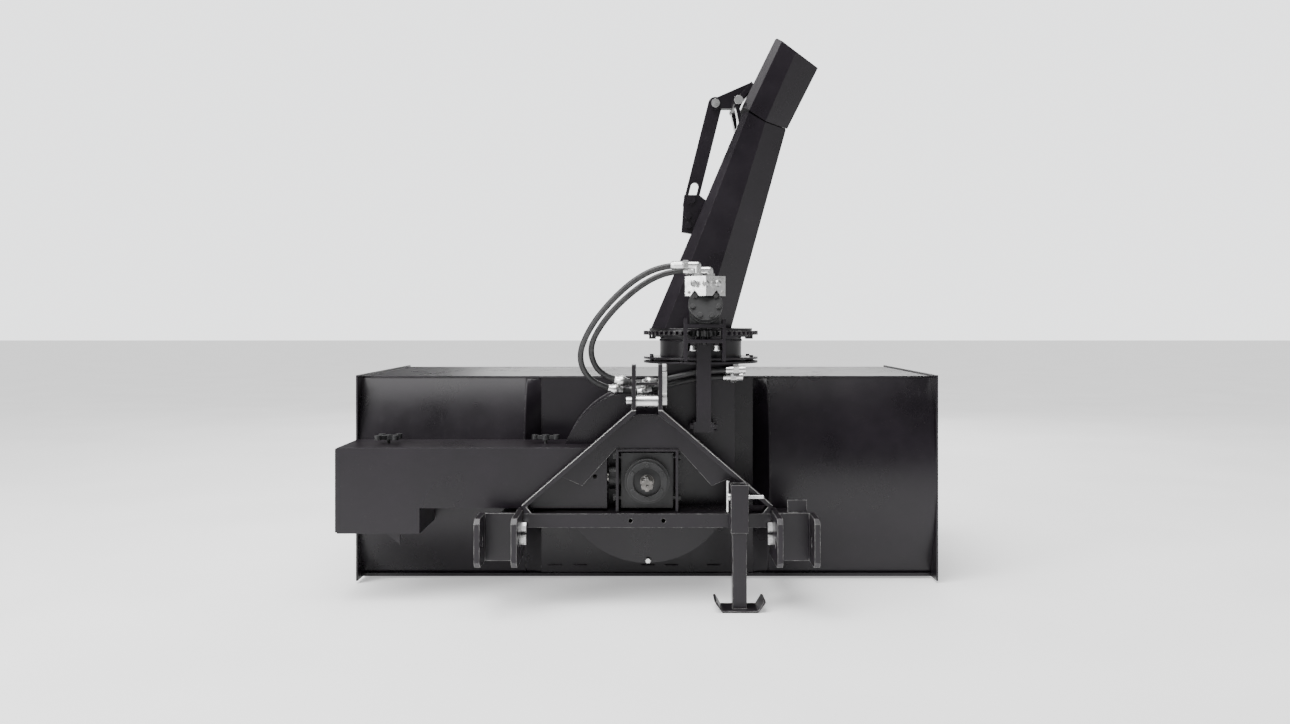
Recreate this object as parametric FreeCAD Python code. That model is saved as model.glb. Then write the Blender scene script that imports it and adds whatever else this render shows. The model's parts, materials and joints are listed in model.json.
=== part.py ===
import FreeCAD, Part
import math
import os

# Three-point-hitch snow blower, laid out from the hitch: X to the right as seen from the tractor,
# Y from the front edges of the lower hitch plates towards the auger, Z up from the ground.
# Each piece is moved by ORIGIN_Y when it is written, so that the origin lies under the cutting edge.

V = FreeCAD.Vector
X_AXIS = V(1, 0, 0)
Y_AXIS = V(0, 1, 0)
Z_AXIS = V(0, 0, 1)

# ---- driving dimensions, millimetres -------------------------------------------------------
HALF_WIDTH = 906.0            # drive line to the outside of an end plate
HOUSING_TOP = 642.0
FLOOR_UNDERSIDE = 12.0
PLATE = 6.0                   # top, floor, end and drum plates
WING_SHEET = 5.0
BACK_Y = 505.0                # back sheet of the auger housing
WING_BELLY = 75.0             # how far a wing panel bulges from BACK_Y
FRONT_Y = 1200.0              # front of the top plate and the cutting edge
CHEEK_IN = 336.0              # centre recess, half width at the back sheet
CHEEK_OUT = 385.0             # centre recess, half width at the wings
END_REAR_Y = 432.0            # straight rear edge of the end plates
SKID_HEIGHT = 90.0
SKID_SOLE = 8.0
EDGE_WIDTH = 100.0
EDGE_THICK = 8.0

SHAFT_Z = 355.0               # power take-off shaft above the ground
SHAFT_R = 17.45               # 1-3/8 inch splined end
DRUM_FRONT = 300.0
DRUM_R = 262.0
IMPELLER_R = 246.0
IMPELLER_PADDLES = 5
DUCT_LEFT = 60.0
DUCT_TOP = 690.0

LAYSHAFT_Y = 250.0            # cross shaft from the gearbox to the chain
LAYSHAFT_R = 15.0
GEARBOX_HALF = 75.0
GEARBOX_HEIGHT = 160.0
GEARBOX_WALL = 10.0
GEARBOX_FRONT = 197.0
MITRE_TEETH = 16
MITRE_MODULE = 4.5

AUGER_Y = 760.0
AUGER_Z = 300.0
AUGER_R = 225.0
AUGER_TUBE_R = 38.0
AUGER_PITCH = 300.0
FLIGHT_THICK = 6.0
PADDLE_HALF = 150.0

CHAIN_X = -868.0
CHAIN_PITCH = 19.05
ROLLER_R = 5.95
DRIVE_TEETH = 12
AUGER_TEETH = 24
SPROCKET_THICK = 10.0

COVER_FRONT = 198.0
COVER_TOP = SHAFT_Z + 94.0
COVER_BOTTOM = SHAFT_Z - 81.0
COVER_DROP = SHAFT_Z - 155.0
COVER_DROP_X = -660.0
COVER_RIGHT_X = -116.0
COVER_SHEET = 3.0

BAR_FRONT = 153.0             # front of the cross member, legs and ears
LEG_BACK = 196.0              # back of the mast legs and web, just clear of the drive cover
BAR_TOP = SHAFT_Z - 89.0
BAR_HEIGHT = 40.0
CLEVIS_X = 413.5              # middle of a lower hitch point
CLEVIS_GAP = 85.0             # clear space between its plates
CLEVIS_PLATE = 16.0
CLEVIS_TOP = BAR_TOP + 11.0
CLEVIS_BOTTOM = CLEVIS_TOP - 134.0
CLEVIS_DEPTH = 100.0
LOWER_PIN_Z = CLEVIS_TOP - 73.0
LOWER_PIN_R = 14.5            # bore for a 28.4 mm category 2 pin
MAST_X = 38.0                 # middle of a mast ear
MAST_PLATE = 12.0
MAST_TOP = SHAFT_Z + 337.0
MAST_KNEE = SHAFT_Z + 207.0
TOP_PIN_Z = LOWER_PIN_Z + 381.0
TOP_PIN_R = 12.5
LEG_FOOT_X = 359.0
LEG_FOOT_Z = SHAFT_Z - 65.0

JACK_X = 261.0
JACK_LEG = 40.0
JACK_WALL = 4.6
JACK_CLEAR = 0.4
JACK_SLEEVE = JACK_LEG + 2 * (JACK_WALL + JACK_CLEAR)
JACK_SLEEVE_TOP = BAR_TOP + 89.0
JACK_SLEEVE_BOTTOM = BAR_TOP - 47.0
JACK_LEG_TOP = JACK_SLEEVE_TOP - 6.0
JACK_TRAVEL = 150.0

RING_X = 165.0
RING_Y = 400.0
RING_TEETH = 57
PINION_TEETH = 12
GEAR_MODULE = 6.0
RING_BOTTOM = 775.0
RING_THICK = 12.0
NECK_R = 125.0
NECK_WALL = 4.0
NECK_FLANGE_R = 175.0
CLAMP_PLATE = 6.0

CHUTE_SHEET = 4.0
CHUTE_BASE_Z = 795.0
HINGE_X = 273.0
HINGE_Z = 1477.0
HINGE_PIN_R = 8.0
LINK_TOP_X = 210.0
LINK_TOP_Z = 1485.0
LINK_LOW_X = 136.0
LINK_LOW_Z = 1190.0
LINK_PIN_R = 8.0
LINK_WIDTH = 44.0
LINK_THICK = 10.0

HOSE_R = 8.5

RUN_CLEAR = 0.05              # radial clearance of a shaft in its bore
FREE = 0.3                    # gap between faces of pieces that move past each other
SEAT_CLEAR = 0.9              # gap between a roller and its sprocket seat
TOOTH_RISE = 4.2              # tooth tips beyond the pitch circle
TOOTH_TAPER = 3.4             # how far each tooth flank leans back by the mouth of the gap
BOLT_CLEAR = 0.5              # radial clearance of a bolt in its hole

ORIGIN_Y = FRONT_Y - EDGE_WIDTH / 2
FLOOR_TOP = FLOOR_UNDERSIDE + PLATE
TOP_UNDERSIDE = HOUSING_TOP - PLATE
INNER = HALF_WIDTH - PLATE


# ---- shape helpers -------------------------------------------------------------------------
def box(x0, x1, y0, y1, z0, z1):
    return Part.makeBox(x1 - x0, y1 - y0, z1 - z0, V(x0, y0, z0))


def rod(start, direction, radius, length):
    return Part.makeCylinder(radius, length, V(*start), direction)


def sleeve(start, direction, outer, inner, length):
    return rod(start, direction, outer, length).cut(rod(start, direction, inner, length))


def slab(points, travel):
    corners = [V(*p) for p in points]
    return Part.Face(Part.makePolygon(corners + corners[:1])).extrude(V(*travel))


def plate_across(points_yz, x0, x1):
    return slab([(x0, y, z) for y, z in points_yz], (x1 - x0, 0, 0))


def plate_facing(points_xz, y0, y1):
    return slab([(x, y0, z) for x, z in points_xz], (0, y1 - y0, 0))


def plate_level(points_xy, z0, z1):
    return slab([(x, y, z0) for x, y in points_xy], (0, 0, z1 - z0))


def hexagon(start, direction, across, length):
    """Hexagonal prism along direction, its flats across apart."""
    radius = across / math.sqrt(3)
    corners = [V(radius * math.cos(math.radians(60 * k)), radius * math.sin(math.radians(60 * k)), 0)
               for k in range(7)]
    prism = Part.Face(Part.makePolygon(corners)).extrude(V(0, 0, length))
    prism.Placement = FreeCAD.Placement(V(*start), FreeCAD.Rotation(Z_AXIS, direction))
    return prism


def bolt(head_seat, direction, radius, grip, nut=True):
    """Hexagon bolt whose head sits at head_seat, with its shank and nut along direction."""
    away = V(*head_seat) - direction * (radius * 1.3)
    parts = hexagon(tuple(away), direction, radius * 3.2, radius * 1.3)
    parts = parts.fuse(rod(head_seat, direction, radius, grip + (radius * 2.2 if nut else 0)))
    if nut:
        far = V(*head_seat) + direction * grip
        parts = parts.fuse(hexagon(tuple(far), direction, radius * 3.2, radius * 1.6))
    return parts.removeSplitter()


def hole(shape, start, direction, radius, length):
    return shape.cut(rod(start, direction, radius, length))


def mirrored(shape):
    """The same piece on the other side of the drive line."""
    return shape.mirror(V(0, 0, 0), X_AXIS)


def turned(shape, centre, axis, degrees):
    copy = shape.copy()
    copy.rotate(V(*centre), axis, degrees)
    return copy


def solids_of(shapes):
    found = []
    for shape in shapes:
        found.extend(shape.Solids)
    return found


os.makedirs("parts", exist_ok=True)


def write(node, *shapes):
    group = Part.makeCompound(solids_of(shapes))
    group.translate(V(0, -ORIGIN_Y, 0))
    bad = [k for k, solid in enumerate(group.Solids) if not solid.isValid()]
    if bad:
        print("invalid solids in", node, bad)
    group.exportStep("parts/" + node + ".step")


# ---- auger housing -------------------------------------------------------------------------
WING_MID_Z = (FLOOR_TOP + TOP_UNDERSIDE) / 2


def wing_arc(x, offset):
    """Bulged line of a wing panel in the plane x, offset inwards from its outer face."""
    return Part.Arc(V(x, BACK_Y + offset, TOP_UNDERSIDE),
                    V(x, BACK_Y - WING_BELLY + offset, WING_MID_Z),
                    V(x, BACK_Y + offset, FLOOR_TOP)).toShape()


def wing_panel(x0, x1):
    outer = wing_arc(x0, 0)
    inner = wing_arc(x0, WING_SHEET)
    top = Part.makeLine(V(x0, BACK_Y, TOP_UNDERSIDE), V(x0, BACK_Y + WING_SHEET, TOP_UNDERSIDE))
    bottom = Part.makeLine(V(x0, BACK_Y, FLOOR_TOP), V(x0, BACK_Y + WING_SHEET, FLOOR_TOP))
    face = Part.Face(Part.Wire(Part.__sortEdges__([outer, inner, top, bottom])))
    return face.extrude(V(x1 - x0, 0, 0))


def cheek():
    """Slanted side of the centre recess, from the right wing's edge to the flat back sheet."""
    bulged = wing_arc(CHEEK_OUT - WING_SHEET, 0)
    flat = Part.makeLine(V(CHEEK_IN, BACK_Y, TOP_UNDERSIDE), V(CHEEK_IN, BACK_Y, FLOOR_TOP))
    skin = Part.makeRuledSurface(bulged, flat)
    return skin.extrude(V(WING_SHEET, 0, 0))


CHAIN_SLOT_HALF = 24.0
CHAIN_SLOT_LOW = 205.0
CHAIN_SLOT_HIGH = 440.0

right_wing = wing_panel(CHEEK_OUT, INNER)
left_wing = wing_panel(-INNER, -CHEEK_OUT)
left_wing = left_wing.cut(box(CHAIN_X - CHAIN_SLOT_HALF, CHAIN_X + CHAIN_SLOT_HALF,
                              BACK_Y - 2 * WING_BELLY, BACK_Y + WING_BELLY,
                              CHAIN_SLOT_LOW, CHAIN_SLOT_HIGH))

back_sheet = box(-CHEEK_IN, CHEEK_IN, BACK_Y, BACK_Y + WING_SHEET, FLOOR_TOP, TOP_UNDERSIDE)
back_sheet = hole(back_sheet, (0, BACK_Y - 1, SHAFT_Z), Y_AXIS, DRUM_R - PLATE, WING_SHEET + 2)

LIP = 8.0
floor_plate = box(-INNER, INNER, BACK_Y, FRONT_Y, FLOOR_UNDERSIDE, FLOOR_TOP)
floor_plate = floor_plate.fuse(box(-INNER, INNER, BACK_Y - LIP, BACK_Y, SKID_SOLE, FLOOR_TOP))
top_plate = box(-INNER, INNER, BACK_Y, FRONT_Y, TOP_UNDERSIDE, HOUSING_TOP)
TOP_LIP = 30.0
top_plate = top_plate.fuse(box(-INNER, INNER, FRONT_Y - PLATE, FRONT_Y, TOP_UNDERSIDE - TOP_LIP, HOUSING_TOP))

NOSE_Y = FRONT_Y + 70.0       # front tip of the end plates
NOSE_Z = 210.0
plate_outline = [(END_REAR_Y, SKID_SOLE), (END_REAR_Y, HOUSING_TOP + PLATE), (FRONT_Y, HOUSING_TOP + PLATE),
                 (NOSE_Y, NOSE_Z), (NOSE_Y, SKID_SOLE)]
right_end = plate_across(plate_outline, INNER, HALF_WIDTH)
left_end = plate_across(plate_outline, -HALF_WIDTH, -INNER)
left_end = left_end.fuse(box(-HALF_WIDTH, -INNER, COVER_FRONT + COVER_SHEET, END_REAR_Y + 1,
                             COVER_DROP + COVER_SHEET, COVER_TOP - COVER_SHEET)).removeSplitter()
left_end = hole(left_end, (-HALF_WIDTH - 1, LAYSHAFT_Y, SHAFT_Z), X_AXIS, LAYSHAFT_R + 3, PLATE + 2)
AUGER_STUB_R = 20.0
for side in (-1, 1):
    start = (side * HALF_WIDTH - (1 if side < 0 else PLATE + 1), AUGER_Y, AUGER_Z)
    if side < 0:
        left_end = hole(left_end, start, X_AXIS, AUGER_STUB_R + 3, PLATE + 2)
    else:
        right_end = hole(right_end, start, X_AXIS, AUGER_STUB_R + 3, PLATE + 2)

# wear parts: bolted cutting edge and skid shoes
cutting_edge = box(-INNER, INNER, FRONT_Y - EDGE_WIDTH, FRONT_Y, FLOOR_UNDERSIDE - EDGE_THICK,
                   FLOOR_UNDERSIDE)
BOLT_R = 6.0
EDGE_BOLTS = [-780.0, -520.0, -260.0, 0.0, 260.0, 520.0, 780.0]
housing_bolts = []
for x in EDGE_BOLTS:
    y = FRONT_Y - EDGE_WIDTH / 2 + 10
    through = FLOOR_UNDERSIDE - EDGE_THICK
    cutting_edge = hole(cutting_edge, (x, y, through), Z_AXIS, BOLT_R + BOLT_CLEAR, EDGE_THICK)
    floor_plate = hole(floor_plate, (x, y, FLOOR_UNDERSIDE), Z_AXIS, BOLT_R + BOLT_CLEAR, PLATE)
    countersunk = rod((x, y, through), Z_AXIS, BOLT_R, EDGE_THICK + PLATE)
    nut = hexagon((x, y, FLOOR_TOP), Z_AXIS, BOLT_R * 3.2, BOLT_R * 1.6)
    housing_bolts.append(countersunk.fuse(nut))

SKID_REAR = 560.0
SKID_FRONT = 1060.0
SKID_TURN = 60.0
SKID_FLOOR = 45.0
skid_side = [(SKID_REAR + SKID_TURN, 0), (SKID_REAR, SKID_TURN), (SKID_REAR, SKID_HEIGHT),
             (SKID_FRONT, SKID_HEIGHT), (SKID_FRONT, SKID_TURN), (SKID_FRONT - SKID_TURN, 0)]
skid_sole = [(SKID_REAR + SKID_TURN, 0), (SKID_FRONT - SKID_TURN, 0),
             (SKID_FRONT - SKID_TURN, SKID_SOLE), (SKID_REAR + SKID_TURN, SKID_SOLE)]
skid = plate_across(skid_side, HALF_WIDTH, HALF_WIDTH + SKID_SOLE)
skid = skid.fuse(plate_across(skid_sole, HALF_WIDTH - SKID_FLOOR, HALF_WIDTH)).removeSplitter()
for y in (SKID_REAR + 110, SKID_FRONT - 110):
    z = SKID_HEIGHT - 35
    skid = hole(skid, (HALF_WIDTH - 1, y, z), X_AXIS, BOLT_R + BOLT_CLEAR, SKID_SOLE + 2)
    right_end = hole(right_end, (INNER - 1, y, z), X_AXIS, BOLT_R + BOLT_CLEAR, PLATE + 2)
    left_end = hole(left_end, (-HALF_WIDTH - 1, y, z), X_AXIS, BOLT_R + BOLT_CLEAR, PLATE + 2)
    skid_bolt = bolt((HALF_WIDTH + SKID_SOLE, y, z), V(-1, 0, 0), BOLT_R, SKID_SOLE + PLATE)
    housing_bolts += [skid_bolt, mirrored(skid_bolt)]

write("left_end_plate", left_end)
write("right_end_plate", right_end)
write("left_wing_panel", left_wing)
write("right_wing_panel", right_wing)
write("centre_back_plate", back_sheet, cheek(), mirrored(cheek()))
write("top_plate", top_plate)
write("floor_plate", floor_plate)
write("cutting_edge", cutting_edge)
write("housing_bolts", *housing_bolts)
write("skid_shoes", skid, mirrored(skid))

# ---- fan drum and its outlet duct ----------------------------------------------------------
DUCT_RIGHT = DRUM_R
drum_depth = BACK_Y - DRUM_FRONT - PLATE
drum_back = DRUM_FRONT + PLATE


def drum_solid(radius, inset):
    """Round drum joined to the tangential duct that rises on its right."""
    body = rod((0, drum_back, SHAFT_Z), Y_AXIS, radius, drum_depth)
    duct = box(DUCT_LEFT + inset, DUCT_RIGHT - inset, drum_back, BACK_Y, SHAFT_Z, DUCT_TOP)
    return body.fuse(duct)


drum = drum_solid(DRUM_R, 0).cut(drum_solid(DRUM_R - PLATE, PLATE))
back_wall = box(DUCT_LEFT, DUCT_RIGHT, BACK_Y - PLATE, BACK_Y, HOUSING_TOP, DUCT_TOP)
drum = drum.fuse(back_wall).removeSplitter()
cover_plate = rod((0, DRUM_FRONT, SHAFT_Z), Y_AXIS, DRUM_R, PLATE)
cover_plate = cover_plate.fuse(box(DUCT_LEFT, DUCT_RIGHT, DRUM_FRONT, drum_back, SHAFT_Z,
                                   DUCT_TOP)).removeSplitter()
cover_plate = hole(cover_plate, (0, DRUM_FRONT - 1, SHAFT_Z), Y_AXIS, 30.0, PLATE + 2)
write("fan_drum", drum)
write("fan_drum_cover", cover_plate)

# ---- input shaft, impeller and mitre gears -------------------------------------------------
SHAFT_FRONT = 100.0
SPLINE_LENGTH = 72.0
INPUT_R = 20.0
IMPELLER_FRONT = DRUM_FRONT + PLATE + 10
IMPELLER_BACK = BACK_Y - 8
HUB_R = 45.0
DISC = 8.0

input_shaft = rod((0, SHAFT_FRONT, SHAFT_Z), Y_AXIS, SHAFT_R, SPLINE_LENGTH)
input_shaft = input_shaft.fuse(rod((0, SHAFT_FRONT + SPLINE_LENGTH, SHAFT_Z), Y_AXIS, INPUT_R,
                                   IMPELLER_BACK - SHAFT_FRONT - SPLINE_LENGTH))
SPLINES = 6
GROOVE = 8.7
GROOVE_DEPTH = 2.6
for k in range(SPLINES):
    groove = box(-GROOVE / 2, GROOVE / 2, SHAFT_FRONT - 1, SHAFT_FRONT + SPLINE_LENGTH - 8,
                 SHAFT_Z + SHAFT_R - GROOVE_DEPTH, SHAFT_Z + SHAFT_R + 5)
    input_shaft = input_shaft.cut(turned(groove, (0, 0, SHAFT_Z), Y_AXIS, 360 / SPLINES * (k + 0.5)))
lock_ring = sleeve((0, SHAFT_FRONT + 22, SHAFT_Z), Y_AXIS, SHAFT_R + 5, SHAFT_R - 3, 8)
input_shaft = input_shaft.cut(lock_ring)
input_shaft = hole(input_shaft, (0, SHAFT_FRONT - 1, SHAFT_Z), Y_AXIS, 4.0, 12)

impeller = rod((0, IMPELLER_FRONT, SHAFT_Z), Y_AXIS, IMPELLER_R - 6, DISC)
impeller = impeller.fuse(rod((0, IMPELLER_FRONT, SHAFT_Z), Y_AXIS, HUB_R,
                             IMPELLER_BACK - IMPELLER_FRONT - 20))
for k in range(IMPELLER_PADDLES):
    paddle = box(HUB_R - 4, IMPELLER_R, IMPELLER_FRONT, IMPELLER_BACK, SHAFT_Z, SHAFT_Z + DISC)
    lip = box(IMPELLER_R - 50, IMPELLER_R - 8, IMPELLER_FRONT, IMPELLER_BACK, SHAFT_Z + DISC,
              SHAFT_Z + DISC + 12)
    blade = paddle.fuse(lip)
    impeller = impeller.fuse(turned(blade, (0, 0, SHAFT_Z), Y_AXIS, 360 / IMPELLER_PADDLES * k))
impeller = hole(impeller, (0, IMPELLER_FRONT - 1, SHAFT_Z), Y_AXIS, INPUT_R, IMPELLER_BACK)

MITRE_R = MITRE_MODULE * MITRE_TEETH / 2
MITRE_FACE = 14.0


def mitre_gear(bore):
    """Mitre gear about +Z with its cone apex at the origin and its teeth facing the apex."""
    addendum = 0.75 * MITRE_MODULE
    dedendum = 0.95 * MITRE_MODULE
    diagonal = 1 / math.sqrt(2)
    scale = (MITRE_R - MITRE_FACE * diagonal) / MITRE_R
    pitch_half = math.pi * MITRE_MODULE / 4 - 0.45
    slope = math.tan(math.radians(20))

    def point(normal, across):
        return V(MITRE_R + normal * diagonal, across, MITRE_R - normal * diagonal)

    section = [point(addendum, -(pitch_half - addendum * slope)),
               point(addendum, pitch_half - addendum * slope),
               point(-dedendum - 0.6, pitch_half + dedendum * slope),
               point(-dedendum - 0.6, -(pitch_half + dedendum * slope))]
    outer = Part.makePolygon(section + section[:1])
    inner = Part.makePolygon([p * scale for p in section + section[:1]])
    tooth = Part.makeLoft([outer, inner], True, True)
    root_r = MITRE_R - dedendum * diagonal
    root_z = MITRE_R + dedendum * diagonal
    profile = [V(root_r * scale, 0, root_z * scale), V(root_r, 0, root_z), V(root_r - 6, 0, root_z + 6),
               V(bore, 0, root_z + 6),
               V(bore, 0, root_z * scale)]
    blank = Part.Face(Part.makePolygon(profile + profile[:1])).revolve(V(0, 0, 0), Z_AXIS, 360)
    teeth = [turned(tooth, (0, 0, 0), Z_AXIS, 360 / MITRE_TEETH * k) for k in range(MITRE_TEETH)]
    return blank.multiFuse(teeth)


def aimed(shape, apex, direction, roll):
    copy = turned(shape, (0, 0, 0), Z_AXIS, roll)
    copy.Placement = FreeCAD.Placement(V(*apex), FreeCAD.Rotation(Z_AXIS, direction)).multiply(copy.Placement)
    return copy


apex = (0, LAYSHAFT_Y, SHAFT_Z)
input_gear = mitre_gear(INPUT_R)
input_gear = aimed(input_gear, apex, V(0, -1, 0), 0)
lay_gear = aimed(mitre_gear(LAYSHAFT_R), apex, V(-1, 0, 0), 360 / MITRE_TEETH / 2)
write("input_shaft", input_shaft)
write("fan_impeller", impeller)
write("input_bevel_gear", input_gear)
write("jackshaft_bevel_gear", lay_gear)

# ---- gearbox -------------------------------------------------------------------------------
gb_low = SHAFT_Z - GEARBOX_HEIGHT / 2
gb_high = SHAFT_Z + GEARBOX_HEIGHT / 2
gearbox = box(-GEARBOX_HALF, GEARBOX_HALF, GEARBOX_FRONT, DRUM_FRONT, gb_low, gb_high)
gearbox = gearbox.cut(box(-GEARBOX_HALF + GEARBOX_WALL, GEARBOX_HALF - GEARBOX_WALL,
                          GEARBOX_FRONT + GEARBOX_WALL - 4, DRUM_FRONT - GEARBOX_WALL,
                          gb_low + GEARBOX_WALL, gb_high - GEARBOX_WALL))
HUB_FRONT = 160.0
BELL_R = 64.5
BELL_IN = 41.0
gearbox = gearbox.fuse(rod((0, HUB_FRONT + 14, SHAFT_Z), Y_AXIS, BELL_R, GEARBOX_FRONT - HUB_FRONT - 14))
gearbox = gearbox.fuse(sleeve((0, HUB_FRONT, SHAFT_Z), Y_AXIS, BELL_R - 8, BELL_IN, 14))
gearbox = gearbox.fuse(rod((COVER_RIGHT_X + 4, LAYSHAFT_Y, SHAFT_Z), X_AXIS, 32.0,
                           -COVER_RIGHT_X - 4 - GEARBOX_HALF))
gearbox = hole(gearbox, (0, HUB_FRONT - 1, SHAFT_Z), Y_AXIS, INPUT_R + RUN_CLEAR, DRUM_FRONT)
gearbox = hole(gearbox, (COVER_RIGHT_X, LAYSHAFT_Y, SHAFT_Z), X_AXIS, LAYSHAFT_R + RUN_CLEAR,
               -COVER_RIGHT_X - GEARBOX_HALF + GEARBOX_WALL + 1)
bell_bolts = []
for k in range(6):
    angle = math.radians(60 * k + 30)
    x = (BELL_R - 17) * math.cos(angle)
    z = SHAFT_Z + (BELL_R - 17) * math.sin(angle)
    bell_bolts.append(hexagon((x, HUB_FRONT - 4, z), Y_AXIS, 10, 4))
write("gearbox_housing", gearbox.removeSplitter())

MOUNT_X = 90.0
MOUNT_PLATE = 8.0
mount_front = 175.0
gearbox_mount = box(GEARBOX_HALF, MOUNT_X, mount_front, DRUM_FRONT, BAR_TOP, gb_high + 6)
gearbox_mount = gearbox_mount.cut(box(GEARBOX_HALF - 1, MOUNT_X - MOUNT_PLATE, mount_front - 1,
                                      DRUM_FRONT - MOUNT_PLATE,
                                      BAR_TOP - 1, gb_high + 7))
left_mount = mirrored(gearbox_mount)
left_mount = hole(left_mount, (-MOUNT_X - 1, LAYSHAFT_Y, SHAFT_Z), X_AXIS, 34.0, MOUNT_PLATE + 3)
mount_top = box(-MOUNT_X, MOUNT_X, mount_front, DRUM_FRONT, gb_high + 6, gb_high + 6 + PLATE)
mount_bolts = []
for side in (-1, 1):
    for z in (gb_low + 28, gb_high - 12):
        seat = side * MOUNT_X
        mount_bolts.append(bolt((seat, mount_front + 30, z), V(-side, 0, 0), 6.0, MOUNT_X - GEARBOX_HALF,
                                nut=False))
        cutter = rod((seat + side, mount_front + 30, z), V(-side, 0, 0), 6.0 + BOLT_CLEAR, MOUNT_PLATE + 2)
        if side > 0:
            gearbox_mount = gearbox_mount.cut(cutter)
        else:
            left_mount = left_mount.cut(cutter)
write("gearbox_mount", gearbox_mount, left_mount, mount_top)
write("gearbox_bolts", *(bell_bolts + mount_bolts))

# ---- jackshaft, chain and auger ------------------------------------------------------------
jack_left = -HALF_WIDTH - 4
jackshaft = rod((jack_left, LAYSHAFT_Y, SHAFT_Z), X_AXIS, LAYSHAFT_R, -jack_left - INPUT_R - 3)
write("jackshaft", jackshaft)


def sprocket(centre_y, centre_z, teeth, bore, hub_r, seat_angle):
    """Toothed disc in the chain plane with a roller seat at seat_angle, degrees from +Y to +Z."""
    pitch_r = CHAIN_PITCH / 2 / math.sin(math.pi / teeth)
    tip_r = pitch_r + TOOTH_RISE
    disc = rod((CHAIN_X - SPROCKET_THICK / 2, centre_y, centre_z), X_AXIS, tip_r, SPROCKET_THICK)
    seats = []
    for k in range(teeth):
        angle = math.radians(seat_angle + 360 / teeth * k)
        y = centre_y + pitch_r * math.cos(angle)
        z = centre_z + pitch_r * math.sin(angle)
        seats.append(rod((CHAIN_X - SPROCKET_THICK, y, z), X_AXIS, ROLLER_R + SEAT_CLEAR, 2 * SPROCKET_THICK))
        root_half = ROLLER_R + SEAT_CLEAR
        mouth_half = root_half + TOOTH_TAPER
        mouth_y = centre_y + tip_r + 5
        slot = plate_across([(centre_y + pitch_r, centre_z - root_half), (mouth_y, centre_z - mouth_half),
                             (mouth_y, centre_z + mouth_half), (centre_y + pitch_r, centre_z + root_half)],
                            CHAIN_X - SPROCKET_THICK, CHAIN_X + SPROCKET_THICK)
        seats.append(turned(slot, (0, centre_y, centre_z), X_AXIS, math.degrees(angle)))
    disc = disc.cut(Part.makeCompound(seats))
    disc = disc.fuse(rod((CHAIN_X - SPROCKET_THICK / 2, centre_y, centre_z), X_AXIS, hub_r,
                         SPROCKET_THICK + 14))
    return hole(disc, (CHAIN_X - 50, centre_y, centre_z), X_AXIS, bore, 100)


drive_r = CHAIN_PITCH / 2 / math.sin(math.pi / DRIVE_TEETH)
driven_r = CHAIN_PITCH / 2 / math.sin(math.pi / AUGER_TEETH)
span_y = AUGER_Y - LAYSHAFT_Y
span_z = AUGER_Z - SHAFT_Z
span = math.hypot(span_y, span_z)
heading = math.degrees(math.atan2(span_z, span_y))


def on_circle(centre, radius, angle):
    return (centre[0] + radius * math.cos(math.radians(angle)),
            centre[1] + radius * math.sin(math.radians(angle)))


drive_centre = (LAYSHAFT_Y, SHAFT_Z)
driven_centre = (AUGER_Y, AUGER_Z)
roller_places = []
drive_step = 360 / DRIVE_TEETH
driven_step = 360 / AUGER_TEETH
drive_mid = heading + 180
driven_mid = heading
drive_seats = [drive_mid + drive_step * k for k in range(-3, 4)]
driven_seats = [driven_mid + driven_step * k for k in range(-6, 7)]
upper_run = (on_circle(drive_centre, drive_r, drive_seats[0]),
             on_circle(driven_centre, driven_r, driven_seats[-1]))
lower_run = (on_circle(drive_centre, drive_r, drive_seats[-1]),
             on_circle(driven_centre, driven_r, driven_seats[0]))
for first, last in (upper_run, lower_run):
    length = math.hypot(last[0] - first[0], last[1] - first[1])
    links = round(length / CHAIN_PITCH)
    for k in range(1, links):
        share = k / links
        place = (first[0] + (last[0] - first[0]) * share, first[1] + (last[1] - first[1]) * share)
        off_drive = math.dist(place, drive_centre) - drive_r - TOOTH_RISE
        off_driven = math.dist(place, driven_centre) - driven_r - TOOTH_RISE
        if min(off_drive, off_driven) > ROLLER_R + FREE:
            roller_places.append(place)

LINK_HALF = 8.6


def chain_outline(grow, x):
    """Closed loop round both sprockets at the pitch line, grown outwards by grow."""
    a = drive_r + grow
    b = driven_r + grow
    lean = math.degrees(math.acos((a - b) / span))
    p1 = on_circle(drive_centre, a, heading + lean)
    p2 = on_circle(driven_centre, b, heading + lean)
    p3 = on_circle(driven_centre, b, heading - lean)
    p4 = on_circle(drive_centre, a, heading - lean)
    far = on_circle(driven_centre, b, heading)
    near = on_circle(drive_centre, a, heading + 180)
    edges = [Part.makeLine(V(x, *p1), V(x, *p2)), Part.Arc(V(x, *p2), V(x, *far), V(x, *p3)).toShape(),
             Part.makeLine(V(x, *p3), V(x, *p4)), Part.Arc(V(x, *p4), V(x, *near), V(x, *p1)).toShape()]
    return Part.Face(Part.Wire(edges))


PLATE_GAP = SPROCKET_THICK / 2 + 0.5
LINK_PLATE = 3.0
strands = []
for x in (CHAIN_X - PLATE_GAP - LINK_PLATE, CHAIN_X + PLATE_GAP):
    strands.append(chain_outline(LINK_HALF, x).cut(chain_outline(-LINK_HALF, x)).extrude(V(LINK_PLATE, 0, 0)))
rollers = [rod((CHAIN_X - PLATE_GAP, y, z), X_AXIS, ROLLER_R, 2 * PLATE_GAP) for y, z in roller_places]
chain = strands[0].multiFuse([strands[1]] + rollers)
write("drive_chain", chain)

write("drive_sprocket", sprocket(LAYSHAFT_Y, SHAFT_Z, DRIVE_TEETH, LAYSHAFT_R, 24.0, drive_mid))
write("auger_sprocket", sprocket(AUGER_Y, AUGER_Z, AUGER_TEETH, AUGER_STUB_R, 40.0, driven_mid))

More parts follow.
